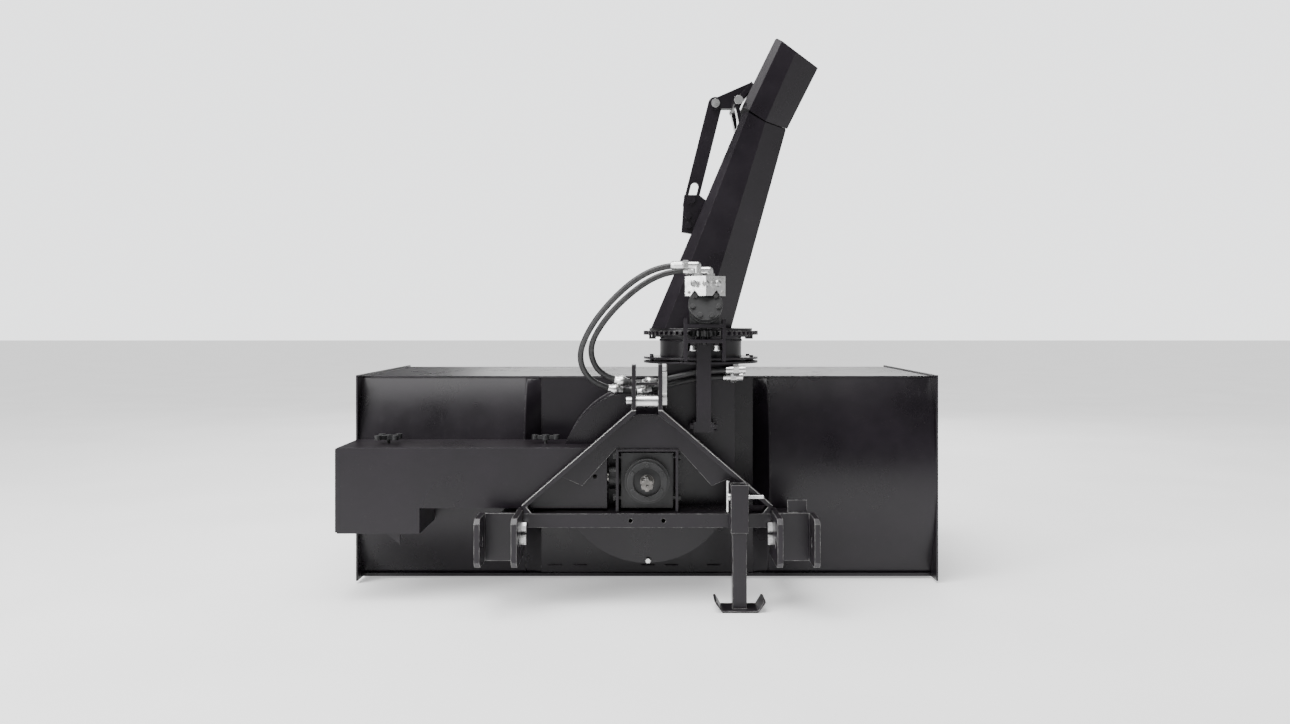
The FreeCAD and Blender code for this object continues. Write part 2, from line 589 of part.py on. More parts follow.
AUGER_LEFT = -838.0
AUGER_RIGHT = INNER - 14
stub_end = HALF_WIDTH + 22
auger_shaft = rod((AUGER_LEFT, AUGER_Y, AUGER_Z), X_AXIS, AUGER_TUBE_R, AUGER_RIGHT - AUGER_LEFT)
auger_shaft = auger_shaft.fuse(rod((-stub_end, AUGER_Y, AUGER_Z), X_AXIS, AUGER_STUB_R, 2 * stub_end))
write("auger_shaft", auger_shaft.removeSplitter())


def flight(length, left_handed):
    """Screw flight about +Z from the origin, up to length."""
    inner = Part.makeHelix(AUGER_PITCH, length, AUGER_TUBE_R + FREE, 0, left_handed)
    outer = Part.makeHelix(AUGER_PITCH, length, AUGER_R, 0, left_handed)
    ribbon = Part.makeRuledSurface(inner.Edges[0], outer.Edges[0])
    return ribbon.extrude(V(0, 0, FLIGHT_THICK))


def laid_along_x(shape, x):
    copy = shape.copy()
    copy.rotate(V(0, 0, 0), Y_AXIS, 90)
    copy.translate(V(x, AUGER_Y, AUGER_Z))
    return copy


left_length = -PADDLE_HALF - AUGER_LEFT - FLIGHT_THICK - 4
right_length = AUGER_RIGHT - PADDLE_HALF - FLIGHT_THICK - 4
flights = [laid_along_x(flight(left_length, False), AUGER_LEFT + 2),
           laid_along_x(flight(right_length, True), PADDLE_HALF + 2)]
paddles = []
for side in (0, 180):
    paddle = box(-PADDLE_HALF, PADDLE_HALF, AUGER_Y + AUGER_TUBE_R, AUGER_Y + AUGER_R - 15, AUGER_Z - 4,
                 AUGER_Z + 4)
    paddles.append(turned(paddle, (0, AUGER_Y, AUGER_Z), X_AXIS, side + 90))
write("auger_flighting", *(flights + paddles))


def flange_bearing(x, direction, y, z, bore):
    """Two-bolt flange unit, its flat back on the plane x and its boss along direction."""
    outline = [(y - 30, z - 45), (y + 30, z - 45), (y + 30, z + 45), (y - 30, z + 45)]
    reach = direction.x * 12
    unit = plate_across(outline, x, x + reach)
    unit = unit.fuse(rod((x, y, z), direction, bore + 12, 24))
    return hole(unit, (x - 50, y, z), X_AXIS, bore + RUN_CLEAR, 100)


bearings = [flange_bearing(-HALF_WIDTH, V(-1, 0, 0), AUGER_Y, AUGER_Z, AUGER_STUB_R),
            flange_bearing(HALF_WIDTH, V(1, 0, 0), AUGER_Y, AUGER_Z, AUGER_STUB_R),
            flange_bearing(-INNER, V(1, 0, 0), LAYSHAFT_Y, SHAFT_Z, LAYSHAFT_R)]
write("flange_bearings", *bearings)

GUARD_RIGHT = AUGER_LEFT - 4
GUARD_R = 122.0
guard_start = BACK_Y + 20


SHAFT_OVER_AUGER = 55.0        # the guard's top rises when the cross shaft lies higher than this


def guard_block(grow):
    x0 = -INNER
    top_z = max(AUGER_Z, SHAFT_Z - SHAFT_OVER_AUGER) + GUARD_R + grow
    straight = box(x0, GUARD_RIGHT + (grow if grow < 0 else 0), guard_start, AUGER_Y,
                   AUGER_Z - GUARD_R - grow, top_z)
    nose = rod((x0, AUGER_Y, AUGER_Z), X_AXIS, GUARD_R + grow, straight.BoundBox.XLength)
    return straight.fuse(nose)


chain_guard = guard_block(0).cut(guard_block(-COVER_SHEET))
chain_guard = hole(chain_guard, (GUARD_RIGHT - 10, AUGER_Y, AUGER_Z), X_AXIS, AUGER_STUB_R + 22, 20)
write("chain_guard", chain_guard.removeSplitter())

# ---- drive cover and its wing knobs --------------------------------------------------------
cover_back = BACK_Y - WING_BELLY
long_outline = [(-INNER, COVER_DROP), (COVER_DROP_X, COVER_DROP), (COVER_DROP_X, COVER_BOTTOM),
                (COVER_RIGHT_X, COVER_BOTTOM), (COVER_RIGHT_X, COVER_TOP), (-INNER, COVER_TOP)]
c = COVER_SHEET
inner_outline = [(-INNER - 1, COVER_DROP + c), (COVER_DROP_X - c, COVER_DROP + c),
                 (COVER_DROP_X - c, COVER_BOTTOM + c), (COVER_RIGHT_X - c, COVER_BOTTOM + c),
                 (COVER_RIGHT_X - c, COVER_TOP - c), (-INNER - 1, COVER_TOP - c)]
cover = plate_facing(long_outline, COVER_FRONT, cover_back)
cover = cover.cut(plate_facing(inner_outline, COVER_FRONT + c, cover_back + 1))
drum_relief = rod((0, DRUM_FRONT, SHAFT_Z), Y_AXIS, DRUM_R, 300)
cover = cover.cut(drum_relief)
cover = hole(cover, (COVER_RIGHT_X - 10, LAYSHAFT_Y, SHAFT_Z), X_AXIS, 40.0, 20)
cover = hole(cover, (-151.0, COVER_FRONT - 1, SHAFT_Z + 11), Y_AXIS, 6.0, c + 2)
KNOB_Y = 320.0
KNOB_STEM_R = 5.0
KNOBS = {"left_cover_knob": (-778.0, 46.0, 4), "right_cover_knob": (-305.0, 42.0, 2)}
for node, (x, reach, lobes) in KNOBS.items():
    cover = hole(cover, (x, KNOB_Y, COVER_TOP - 10), Z_AXIS, KNOB_STEM_R + FREE, 20)
    cover = cover.fuse(sleeve((x, KNOB_Y, COVER_TOP - c - 12), Z_AXIS, 11.0, KNOB_STEM_R + RUN_CLEAR, 12))
    knob = rod((x, KNOB_Y, COVER_TOP - 25), Z_AXIS, KNOB_STEM_R, 40)
    knob = knob.fuse(rod((x, KNOB_Y, COVER_TOP + 10), Z_AXIS, 12, 16))
    for k in range(lobes):
        arm = box(x, x + reach - 10, KNOB_Y - 7, KNOB_Y + 7, COVER_TOP + 13, COVER_TOP + 24)
        arm = arm.fuse(rod((x + reach - 10, KNOB_Y, COVER_TOP + 12), Z_AXIS, 10, 14))
        knob = knob.fuse(turned(arm, (x, KNOB_Y, 0), Z_AXIS, 360 / lobes * k + (45 if lobes == 4 else 0)))
    write(node, knob.removeSplitter())
gusset = slab([(-765.0, COVER_FRONT + 20, COVER_DROP), (-720.0, COVER_FRONT + 20, COVER_DROP),
               (-722.0, COVER_FRONT + 20, COVER_DROP - 34)], (0, 6, 0))
write("jackshaft_cover", cover.removeSplitter(), gusset)

# ---- three-point hitch frame ---------------------------------------------------------------
bar_low = BAR_TOP - BAR_HEIGHT
inner_plate_x = CLEVIS_X - CLEVIS_GAP / 2 - CLEVIS_PLATE
cross_member = box(-inner_plate_x, inner_plate_x, BAR_FRONT, DRUM_FRONT, bar_low, BAR_TOP)
cross_member = cross_member.cut(box(-inner_plate_x, inner_plate_x, BAR_FRONT + PLATE, DRUM_FRONT - PLATE,
                                    bar_low + PLATE, BAR_TOP - PLATE))
for x in (-47.0, 47.0):
    cross_member = hole(cross_member, (x, BAR_FRONT - 1, bar_low + BAR_HEIGHT / 2), Y_AXIS, 6.0, PLATE + 2)
write("lower_cross_member", cross_member)

PLATE_CHAMFER = 14.0
CLEVIS_BACK = 12.0


def clevis_plate(x0, reach_y):
    outline = [(PLATE_CHAMFER, CLEVIS_TOP), (0, CLEVIS_TOP - PLATE_CHAMFER),
               (0, CLEVIS_BOTTOM + PLATE_CHAMFER),
               (PLATE_CHAMFER, CLEVIS_BOTTOM), (reach_y, CLEVIS_BOTTOM), (reach_y, CLEVIS_TOP)]
    plate = plate_across(outline, x0, x0 + CLEVIS_PLATE)
    return hole(plate, (x0 - 1, PIN_Y, LOWER_PIN_Z), X_AXIS, LOWER_PIN_R, CLEVIS_PLATE + 2)


PIN_Y = 50.0
INNER_REACH = COVER_FRONT - 1
clevis_in = clevis_plate(inner_plate_x, INNER_REACH)
outer_x = CLEVIS_X + CLEVIS_GAP / 2
clevis_out = clevis_plate(outer_x, CLEVIS_DEPTH + CLEVIS_BACK)
clevis_back = box(inner_plate_x + CLEVIS_PLATE, outer_x, CLEVIS_DEPTH, CLEVIS_DEPTH + CLEVIS_BACK,
                  CLEVIS_BOTTOM, CLEVIS_TOP)


def behind_wing(x0, x1):
    """Everything on the auger side of a wing panel's outer face, for trimming what meets it."""
    outer = wing_arc(x0, 0)
    far = BACK_Y + 400
    lines = [Part.makeLine(V(x0, BACK_Y, TOP_UNDERSIDE), V(x0, far, TOP_UNDERSIDE)),
             Part.makeLine(V(x0, far, TOP_UNDERSIDE), V(x0, far, FLOOR_TOP)),
             Part.makeLine(V(x0, far, FLOOR_TOP), V(x0, BACK_Y, FLOOR_TOP))]
    face = Part.Face(Part.Wire(Part.__sortEdges__([outer] + lines)))
    return face.extrude(V(x1 - x0, 0, 0))


strut_long = box(CLEVIS_X - 26, CLEVIS_X + 30, CLEVIS_DEPTH + CLEVIS_BACK, BACK_Y + 20, LOWER_PIN_Z - 30,
                 LOWER_PIN_Z + 30)
strut_core = box(CLEVIS_X - 20, CLEVIS_X + 24, CLEVIS_DEPTH, BACK_Y + 21, LOWER_PIN_Z - 24, LOWER_PIN_Z + 24)
strut = strut_long.cut(strut_core).cut(behind_wing(CHEEK_OUT - 5, CHEEK_OUT + 200))
CLEVIS_BOLT_R = 8.0
clevis_bolts = []
for z in (LOWER_PIN_Z + 28, LOWER_PIN_Z - 6):
    clevis_bolts.append(hexagon((inner_plate_x - 13, BAR_FRONT - 30, z), X_AXIS, CLEVIS_BOLT_R * 3.2, 13))
    clevis_bolts.append(mirrored(clevis_bolts[-1]))
L_GUSSET = 6.0
gusset_r = box(outer_x - 60, outer_x - 5, CLEVIS_DEPTH + CLEVIS_BACK, CLEVIS_DEPTH + CLEVIS_BACK + L_GUSSET,
               CLEVIS_TOP - 10, CLEVIS_TOP + 35)
write("right_lower_clevis", clevis_in, clevis_out, clevis_back, strut, gusset_r)
write("left_lower_clevis", mirrored(clevis_in), mirrored(clevis_out), mirrored(clevis_back), mirrored(strut))
write("clevis_bolts", *clevis_bolts)

# mast: two ears, two legs and a web
EAR_BACK = 229.0
ear_in = MAST_X - MAST_PLATE / 2
ear_out = MAST_X + MAST_PLATE / 2
ear = box(ear_in, ear_out, BAR_FRONT, EAR_BACK, MAST_KNEE, MAST_TOP)
TOP_PIN_Y = 190.0
ear = hole(ear, (ear_in - 1, TOP_PIN_Y, TOP_PIN_Z), X_AXIS, TOP_PIN_R + RUN_CLEAR, MAST_PLATE + 2)
bar_z = TOP_PIN_Z + 47
ear_bar = box(-ear_in, ear_in, BAR_FRONT + 30, EAR_BACK - 20, bar_z, bar_z + 8)
write("mast_ears", ear, mirrored(ear), ear_bar)

leg_dx = LEG_FOOT_X - ear_out
leg_dz = MAST_KNEE - LEG_FOOT_Z
leg_length = math.hypot(leg_dx, leg_dz)
nx = leg_dz / leg_length * MAST_PLATE
nz = leg_dx / leg_length * MAST_PLATE
foot_top = (LEG_FOOT_X, LEG_FOOT_Z)
leg = plate_facing([(ear_in, MAST_KNEE), (ear_out, MAST_KNEE), foot_top,
                    (LEG_FOOT_X, BAR_TOP), (LEG_FOOT_X - 30, BAR_TOP), (LEG_FOOT_X - nx - 6,
                                                                        LEG_FOOT_Z - nz + 4),
                    (ear_in, MAST_KNEE - nz * 1.2)], BAR_FRONT, LEG_BACK)
leg = leg.cut(clevis_in)
write("mast_legs", leg, mirrored(leg))

web_low = SHAFT_Z + 86.0
web_outline = [(-ear_in, MAST_KNEE - 16), (ear_in, MAST_KNEE - 16), (260.0, SHAFT_Z + 17),
               (187.0, SHAFT_Z - 15), (91.0, web_low + 6), (-91.0, web_low + 6),
               (-187.0, SHAFT_Z - 15), (-260.0, SHAFT_Z + 17)]
WEB_THICK = 8.0
web = plate_facing(web_outline, LEG_BACK - WEB_THICK, LEG_BACK).cut(leg).cut(mirrored(leg))
spacer_len = 2 * ear_in - 1
pin_spacer = sleeve((-spacer_len / 2, TOP_PIN_Y, TOP_PIN_Z), X_AXIS, 18.25, TOP_PIN_R + RUN_CLEAR, spacer_len)
write("mast_web_plate", web)
write("pin_spacer", pin_spacer)

HEAD = 13.0
HEAD_FLATS = 34.0
top_pin = rod((-ear_out - 16, TOP_PIN_Y, TOP_PIN_Z), X_AXIS, TOP_PIN_R, 2 * ear_out + 16)
top_pin = top_pin.fuse(hexagon((ear_out + FREE, TOP_PIN_Y, TOP_PIN_Z), X_AXIS, HEAD_FLATS, HEAD))
top_pin = top_pin.fuse(rod((ear_out - 1, TOP_PIN_Y, TOP_PIN_Z), X_AXIS, TOP_PIN_R, 5))
write("top_link_pin", top_pin.removeSplitter())

# ---- parking jack --------------------------------------------------------------------------
s = JACK_SLEEVE / 2
jack_y = BAR_FRONT - s
leg_half = JACK_LEG / 2
bore_half = s - JACK_WALL
sleeve_box = box(JACK_X - s, JACK_X + s, jack_y - s, jack_y + s, JACK_SLEEVE_BOTTOM, JACK_SLEEVE_TOP)
sleeve_box = sleeve_box.cut(box(JACK_X - bore_half, JACK_X + bore_half, jack_y - bore_half,
                                jack_y + bore_half,
                                JACK_SLEEVE_BOTTOM - 1, JACK_SLEEVE_TOP + 1))
LOCK_Z = JACK_SLEEVE_TOP - 37.0
LOCK_R = 6.0
sleeve_box = hole(sleeve_box, (JACK_X - 50, jack_y, LOCK_Z), X_AXIS, LOCK_R + RUN_CLEAR, 100)
write("jack_sleeve", sleeve_box)

FOOT_THICK = 6.0
foot_half = 50.0
leg_tube = box(JACK_X - leg_half, JACK_X + leg_half, jack_y - leg_half, jack_y + leg_half, FOOT_THICK,
               JACK_LEG_TOP)
leg_tube = leg_tube.cut(box(JACK_X - leg_half + 4, JACK_X + leg_half - 4, jack_y - leg_half + 4,
                            jack_y + leg_half - 4,
                            FOOT_THICK + 1, JACK_LEG_TOP + 1))
slot_half = LOCK_R + RUN_CLEAR
for z in (LOCK_Z, LOCK_Z - JACK_TRAVEL):
    leg_tube = hole(leg_tube, (JACK_X - 50, jack_y, z), X_AXIS, slot_half, 100)
leg_tube = leg_tube.cut(box(JACK_X - 50, JACK_X + 50, jack_y - slot_half, jack_y + slot_half,
                            LOCK_Z - JACK_TRAVEL, LOCK_Z))
foot = box(JACK_X - foot_half, JACK_X + foot_half, jack_y - 45, jack_y + 45, 0, FOOT_THICK)
for side in (-1, 1):
    lip = slab([(JACK_X + side * foot_half, jack_y - 45, 0),
                (JACK_X + side * (foot_half + 22), jack_y - 45, 30),
                (JACK_X + side * (foot_half + 16), jack_y - 45, 33), (JACK_X + side * foot_half,
                                                                      jack_y - 45, FOOT_THICK)],
               (0, 90, 0))
    foot = foot.fuse(lip)
write("jack_leg", leg_tube, foot.removeSplitter())

LOCK_TAIL = 44.0
pull_x = JACK_X - s - 7
lock_pin = rod((pull_x, jack_y, LOCK_Z), X_AXIS, LOCK_R, JACK_SLEEVE + 7 + LOCK_TAIL)
pull = rod((pull_x, jack_y, LOCK_Z - 42), Z_AXIS, 5.0, 88)
collar = rod((pull_x, jack_y, LOCK_Z), X_AXIS, 11.0, 7 - FREE)
lock_pin = lock_pin.fuse(pull).fuse(collar)
write("jack_lock_pin", lock_pin.removeSplitter())

# ---- chute neck, slewing ring and pinion ---------------------------------------------------
neck_low = DUCT_TOP
flange_low = sleeve((RING_X, RING_Y, neck_low), Z_AXIS, NECK_FLANGE_R, NECK_R - NECK_WALL, CLAMP_PLATE)
flange_mid = sleeve((RING_X, RING_Y, neck_low + 2 * CLAMP_PLATE), Z_AXIS, NECK_FLANGE_R, NECK_R - NECK_WALL,
                    CLAMP_PLATE)
SEAT_R = 150.0
seat_z = RING_BOTTOM - FREE
neck_tube = sleeve((RING_X, RING_Y, neck_low + CLAMP_PLATE), Z_AXIS, NECK_R, NECK_R - NECK_WALL,
                   seat_z - neck_low - CLAMP_PLATE)
seat = sleeve((RING_X, RING_Y, seat_z - CLAMP_PLATE), Z_AXIS, SEAT_R, NECK_R - NECK_WALL, CLAMP_PLATE)
neck = flange_low.fuse(neck_tube).fuse(seat)
neck = neck.fuse(flange_mid)
for k in range(8):
    angle = math.radians(45 * k + 22.5)
    x = RING_X + (NECK_FLANGE_R - 12) * math.cos(angle)
    y = RING_Y + (NECK_FLANGE_R - 12) * math.sin(angle)
    neck = neck.fuse(rod((x, y, neck_low), Z_AXIS, 6.0, 3 * CLAMP_PLATE + 6))
write("chute_neck", neck.removeSplitter())


def gear_outline(teeth, backlash):
    """Straight-flanked spur outline about the origin, first tooth on +X."""
    pitch_r = GEAR_MODULE * teeth / 2
    tip = pitch_r + 0.8 * GEAR_MODULE
    root = pitch_r - 1.05 * GEAR_MODULE
    half = math.pi / 2 / teeth - backlash / 2 / pitch_r
    slope = math.tan(math.radians(20)) * GEAR_MODULE / pitch_r
    corners = []
    for k in range(teeth):
        middle = 2 * math.pi * k / teeth
        for radius, offset in ((root, -half - 1.0 * slope), (tip, -half + 0.85 * slope),
                               (tip, half - 0.85 * slope), (root, half + 1.0 * slope)):
            corners.append(V(radius * math.cos(middle + offset), radius * math.sin(middle + offset), 0))
    return Part.Face(Part.makePolygon(corners + corners[:1]))


pinion_reach = GEAR_MODULE * (RING_TEETH + PINION_TEETH) / 2 + 0.4
PINION_X = RING_X
PINION_Y = RING_Y - pinion_reach
ring_gear = gear_outline(RING_TEETH, 0.8).extrude(V(0, 0, RING_THICK))
ring_gear = ring_gear.cut(rod((0, 0, -1), Z_AXIS, NECK_R - NECK_WALL, RING_THICK + 2))
ring_gear = turned(ring_gear, (0, 0, 0), Z_AXIS, -90 - 360 / RING_TEETH / 2)
ring_gear.translate(V(RING_X, RING_Y, RING_BOTTOM))
collar_top = RING_BOTTOM + RING_THICK
base_ring = sleeve((RING_X, RING_Y, collar_top), Z_AXIS, 158.0, NECK_R - NECK_WALL, CHUTE_BASE_Z - collar_top)
retainers = []
for k in range(4):
    block = box(SEAT_R + 1.5, SEAT_R + 9, -22, 22, RING_BOTTOM - 2 * CLAMP_PLATE - FREE * 3, RING_BOTTOM)
    hook = box(SEAT_R - 12, SEAT_R + 9, -22, 22, RING_BOTTOM - 2 * CLAMP_PLATE - FREE * 3,
               seat_z - CLAMP_PLATE - FREE * 2)
    clip_piece = block.fuse(hook)
    clip_piece = turned(clip_piece, (0, 0, 0), Z_AXIS, 90 * k)
    clip_piece.translate(V(RING_X, RING_Y, 0))
    retainers.append(clip_piece)
write("chute_gear_ring", ring_gear, base_ring, *retainers)

PINION_THICK = 16.0
SPINDLE_R = 11.0
pinion = gear_outline(PINION_TEETH, 0.8).extrude(V(0, 0, PINION_THICK))
pinion = turned(pinion, (0, 0, 0), Z_AXIS, 90)
pinion.translate(V(PINION_X, PINION_Y, RING_BOTTOM + (RING_THICK - PINION_THICK) / 2))
PLATE_LOW = 754.0
PLATE_HIGH = 798.0
BRACKET_PLATE = 10.0
pinion = pinion.fuse(rod((PINION_X, PINION_Y, PLATE_LOW - 6), Z_AXIS, SPINDLE_R, PLATE_HIGH + 34 - PLATE_LOW))
write("chute_pinion", pinion.removeSplitter())

# ---- chute drive: bracket, post, motor and valve -------------------------------------------
BRACKET_HALF = 50.0
BAR_WIDE = 50.0
POST_FRONT = 208.0
POST_BACK = 220.0
POST_HALF = 21.5
POST_LOW = 506.0
bracket_front = PINION_Y - 48
bottom_plate = box(PINION_X - BRACKET_HALF, PINION_X + BRACKET_HALF, bracket_front, POST_BACK, PLATE_LOW,
                   PLATE_LOW + BRACKET_PLATE)
bottom_plate = hole(bottom_plate, (PINION_X, PINION_Y, PLATE_LOW - 1), Z_AXIS, SPINDLE_R + RUN_CLEAR,
                    BRACKET_PLATE + 2)
top_bracket = box(PINION_X - BRACKET_HALF, PINION_X + BRACKET_HALF, bracket_front, PINION_Y + 30,
                  PLATE_HIGH, PLATE_HIGH + BRACKET_PLATE)
top_bracket = hole(top_bracket, (PINION_X, PINION_Y, PLATE_HIGH - 1), Z_AXIS, SPINDLE_R + RUN_CLEAR,
                   BRACKET_PLATE + 2)
side_bars = []
for side in (-1, 1):
    x0 = PINION_X + side * BRACKET_HALF
    x1 = x0 + side * BRACKET_PLATE
    side_bars.append(box(min(x0, x1), max(x0, x1), bracket_front, bracket_front + BAR_WIDE, PLATE_LOW - 52,
                         PLATE_HIGH + 26))
bracket = bottom_plate.fuse(top_bracket).fuse(side_bars[0]).fuse(side_bars[1])
for side in (-1, 1):
    bolt_x = PINION_X + side * 36
    bracket = bracket.fuse(hexagon((bolt_x, bracket_front + 18, PLATE_LOW - 22), Z_AXIS, 19, 22))
write("motor_bracket", bracket.removeSplitter())

post = box(PINION_X - POST_HALF, PINION_X + POST_HALF, POST_FRONT, POST_BACK, POST_LOW, PLATE_LOW)
lugs = []
for side in (-1, 1):
    x0 = PINION_X + side * POST_HALF
    x1 = x0 + side * 8
    lugs.append(box(min(x0, x1), max(x0, x1), POST_FRONT, DRUM_FRONT, POST_LOW - 14, POST_LOW + 16))
foot_plate = box(PINION_X - POST_HALF, PINION_X + POST_HALF, POST_FRONT, DRUM_FRONT, POST_LOW - 14, POST_LOW)
lug_bolt = hexagon((PINION_X + POST_HALF + 8, POST_FRONT + 12, POST_LOW + 2), X_AXIS, 19, 9)
lug_nut = hexagon((PINION_X - POST_HALF - 18, POST_FRONT + 12, POST_LOW + 2), X_AXIS, 19, 10)
write("drive_post", post.fuse(foot_plate), lugs[0], lugs[1], lug_bolt, lug_nut)

MOTOR_TILT = 20.0
MOTOR_R = 48.5
motor_dir = V(0, -math.cos(math.radians(MOTOR_TILT)), math.sin(math.radians(MOTOR_TILT)))
MOTOR_LENGTH = 78.0
worm_box_top = PLATE_HIGH + BRACKET_PLATE + 62
worm_box = box(PINION_X - 42, PINION_X + 42, PINION_Y - 36, PINION_Y + 30, PLATE_HIGH + BRACKET_PLATE,
               worm_box_top)
worm_box = hole(worm_box, (PINION_X, PINION_Y, PLATE_HIGH), Z_AXIS, SPINDLE_R + RUN_CLEAR, 36)
motor_start = V(PINION_X, PINION_Y - 10, PLATE_HIGH + BRACKET_PLATE + 30)
motor_body = rod(tuple(motor_start), motor_dir, MOTOR_R - 8, MOTOR_LENGTH - 14)
cap_start = motor_start + motor_dir * (MOTOR_LENGTH - 14)
motor_cap = rod(tuple(cap_start), motor_dir, MOTOR_R, 16)
mid_start = motor_start + motor_dir * 34
mid_ring = rod(tuple(mid_start), motor_dir, MOTOR_R - 3, 14)
below_plate = box(0, 400, 0, 400, 0, PLATE_HIGH + BRACKET_PLATE)
motor = worm_box.fuse(motor_body).fuse(motor_cap).fuse(mid_ring).cut(below_plate)
motor = hole(motor, (PINION_X, PINION_Y, PLATE_HIGH), Z_AXIS, SPINDLE_R + RUN_CLEAR, 36)
cap_face = cap_start + motor_dir * 16
cap_bolts = []
for k in range(7):
    angle = math.radians(360 / 7 * k + 90)
    across = V(1, 0, 0) * ((MOTOR_R - 11) * math.cos(angle))
    upward = V(0, math.sin(math.radians(MOTOR_TILT)),
               math.cos(math.radians(MOTOR_TILT))) * ((MOTOR_R - 11) * math.sin(angle))
    cap_bolts.append(hexagon(tuple(cap_face + across + upward), motor_dir, 13, 6))
write("chute_motor", motor.removeSplitter(), *cap_bolts)

VALVE_Z = 888.0
VALVE_TOP = 944.0
VALVE_FRONT = 95.0
VALVE_BACK = 190.0
valve_outline = [(PINION_X - 57, VALVE_FRONT + 30), (PINION_X, VALVE_FRONT),
                 (PINION_X + 57, VALVE_FRONT + 30),
                 (PINION_X + 57, VALVE_BACK), (PINION_X - 57, VALVE_BACK)]
valve = plate_level(valve_outline, VALVE_Z, VALVE_TOP)
valve_neck = box(PINION_X - 24, PINION_X + 24, 120, 176, 860, VALVE_Z)
motor_room = rod(tuple(motor_start), motor_dir, MOTOR_R, MOTOR_LENGTH + 12)
valve = valve.fuse(valve_neck).cut(motor).cut(motor_room)
write("valve_block", valve.removeSplitter())

FIT_R = 11.0
fittings = []
ELBOWS = {"inlet": (PINION_X - 22, 128.0, 975.0), "outlet": (PINION_X + 14, 160.0, 962.0)}
elbow_ends = {}
for name, (x, y, z) in ELBOWS.items():
    riser = rod((x, y, VALVE_TOP), Z_AXIS, FIT_R, z - VALVE_TOP)
    riser = riser.fuse(hexagon((x, y, VALVE_TOP), Z_AXIS, 27, 9))
    riser = riser.fuse(Part.makeSphere(FIT_R, V(x, y, z)))
    side_arm = rod((x, y, z), V(-1, 0, 0), FIT_R, 26)
    side_arm = side_arm.fuse(hexagon((x - 26, y, z), V(-1, 0, 0), 26, 14))
    fittings.append(riser.fuse(side_arm))
    elbow_ends[name] = (x - 40, y, z)
write("hose_fittings", *fittings)

# ---- hydraulic hoses -----------------------------------------------------------------------
inlet_route = [elbow_ends["inlet"], (48, 128, 975), (-30, 131, 940), (-106, 137, 872), (-166, 150, 795),
               (-200, 186, 714), (-172, 224, 644), (-96, 253, 612), (-8, 272, 608), (74, 278, 628),
               (150, 280, 648), (226, 280, 650)]
outlet_route = [elbow_ends["outlet"], (78, 160, 962), (4, 163, 935), (-72, 168, 876), (-134, 184, 806),
                (-170, 215, 735), (-146, 243, 666), (-76, 254, 637), (8, 256, 634), (84, 254, 652),
                (160, 251, 670), (232, 250, 672)]


def hose(name, route):
    """Tube of straight runs joined by tangent arcs along the route."""
    points = [V(*p) for p in route]
    edges = []
    start = points[0]
    radii = []
    for before, at, after in zip(points, points[1:], points[2:]):
        back = (before - at).normalize()
        ahead = (after - at).normalize()
        half_turn = (math.pi - back.getAngle(ahead)) / 2
        shorter = min((at - before).Length, (after - at).Length)
        setback = 0.45 * shorter
        radii.append(setback / math.tan(half_turn))
        first = at + back * setback
        last = at + ahead * setback
        bisector = (back + ahead).normalize()
        rise = radii[-1] / math.cos(half_turn) - radii[-1]
        edges.append(Part.makeLine(start, first))
        edges.append(Part.Arc(first, at + bisector * rise, last).toShape())
        start = last
    edges.append(Part.makeLine(start, points[-1]))
    path = Part.Wire(edges)
    ring = Part.Wire(Part.Circle(points[0], points[1] - points[0], HOSE_R).toShape())
    tube = path.makePipeShell([ring], True, False)
    expected = math.pi * HOSE_R ** 2 * path.Length
    print(name, "length", round(path.Length, 1), "radii", [round(r) for r in radii],
          "volume ratio", round(tube.Volume / expected, 4))
    write(name, tube)
    return points[-1], (points[-1] - points[-2]).normalize()


couplers = []
for name, route in (("inlet_hose", inlet_route), ("outlet_hose", outlet_route)):
    end, ahead = hose(name, route)
    coupler = rod(tuple(end), ahead, HOSE_R + 3, 22)
    coupler = coupler.fuse(hexagon(tuple(end + ahead * 22), ahead, 30, 16))
    couplers.append(coupler.fuse(rod(tuple(end + ahead * 38), ahead, 12, 20)))
write("hose_couplers", *couplers)

HOLDER_STRIP = 3.0
HOLDER_LOW = 598.0
HOLDER_HIGH = 668.0
HOLDER_BACK = 292.0
holder = box(ear_in + 2, ear_out + 14, EAR_BACK, HOLDER_BACK, HOLDER_LOW, HOLDER_HIGH)
holder = holder.cut(box(ear_in, ear_out + 16, EAR_BACK + HOLDER_STRIP, HOLDER_BACK - HOLDER_STRIP,
                        HOLDER_LOW + HOLDER_STRIP, HOLDER_HIGH - HOLDER_STRIP))
write("hose_holder", holder)

# ---- chute ---------------------------------------------------------------------------------
# Fold lines of the sheet, front half: (x, half width, z) at the bottom and at the top of each line.
CHUTE_FOLDS = [((252.0, 70.0, CHUTE_BASE_Z), (418.0, 62.0, 1396.0)),
               ((162.0, 118.0, CHUTE_BASE_Z), (352.0, 104.0, 1411.0)),
               ((55.0, 118.0, CHUTE_BASE_Z), (304.0, 104.0, 1439.0)),
               ((17.0, 80.0, CHUTE_BASE_Z), (293.0, 92.0, 1445.0))]
CHUTE_MOUTH = [(430.0, 1393.3), (352.0, 1411.0), (280.0, 1452.5)]


def at_height(low, high, z):
    """Point of the fold line from low to high, or of its extension, at height z."""
    share = (z - low[2]) / (high[2] - low[2])
    x = low[0] + (high[0] - low[0]) * share
    half_width = low[1] + (high[1] - low[1]) * share
    return V(x, RING_Y - half_width, z)


def closed_outline(half):
    """Outline of a folded channel: out along one side, round the back and along the other."""
    return half + [V(p.x, 2 * RING_Y - p.y, p.z) for p in reversed(half)]


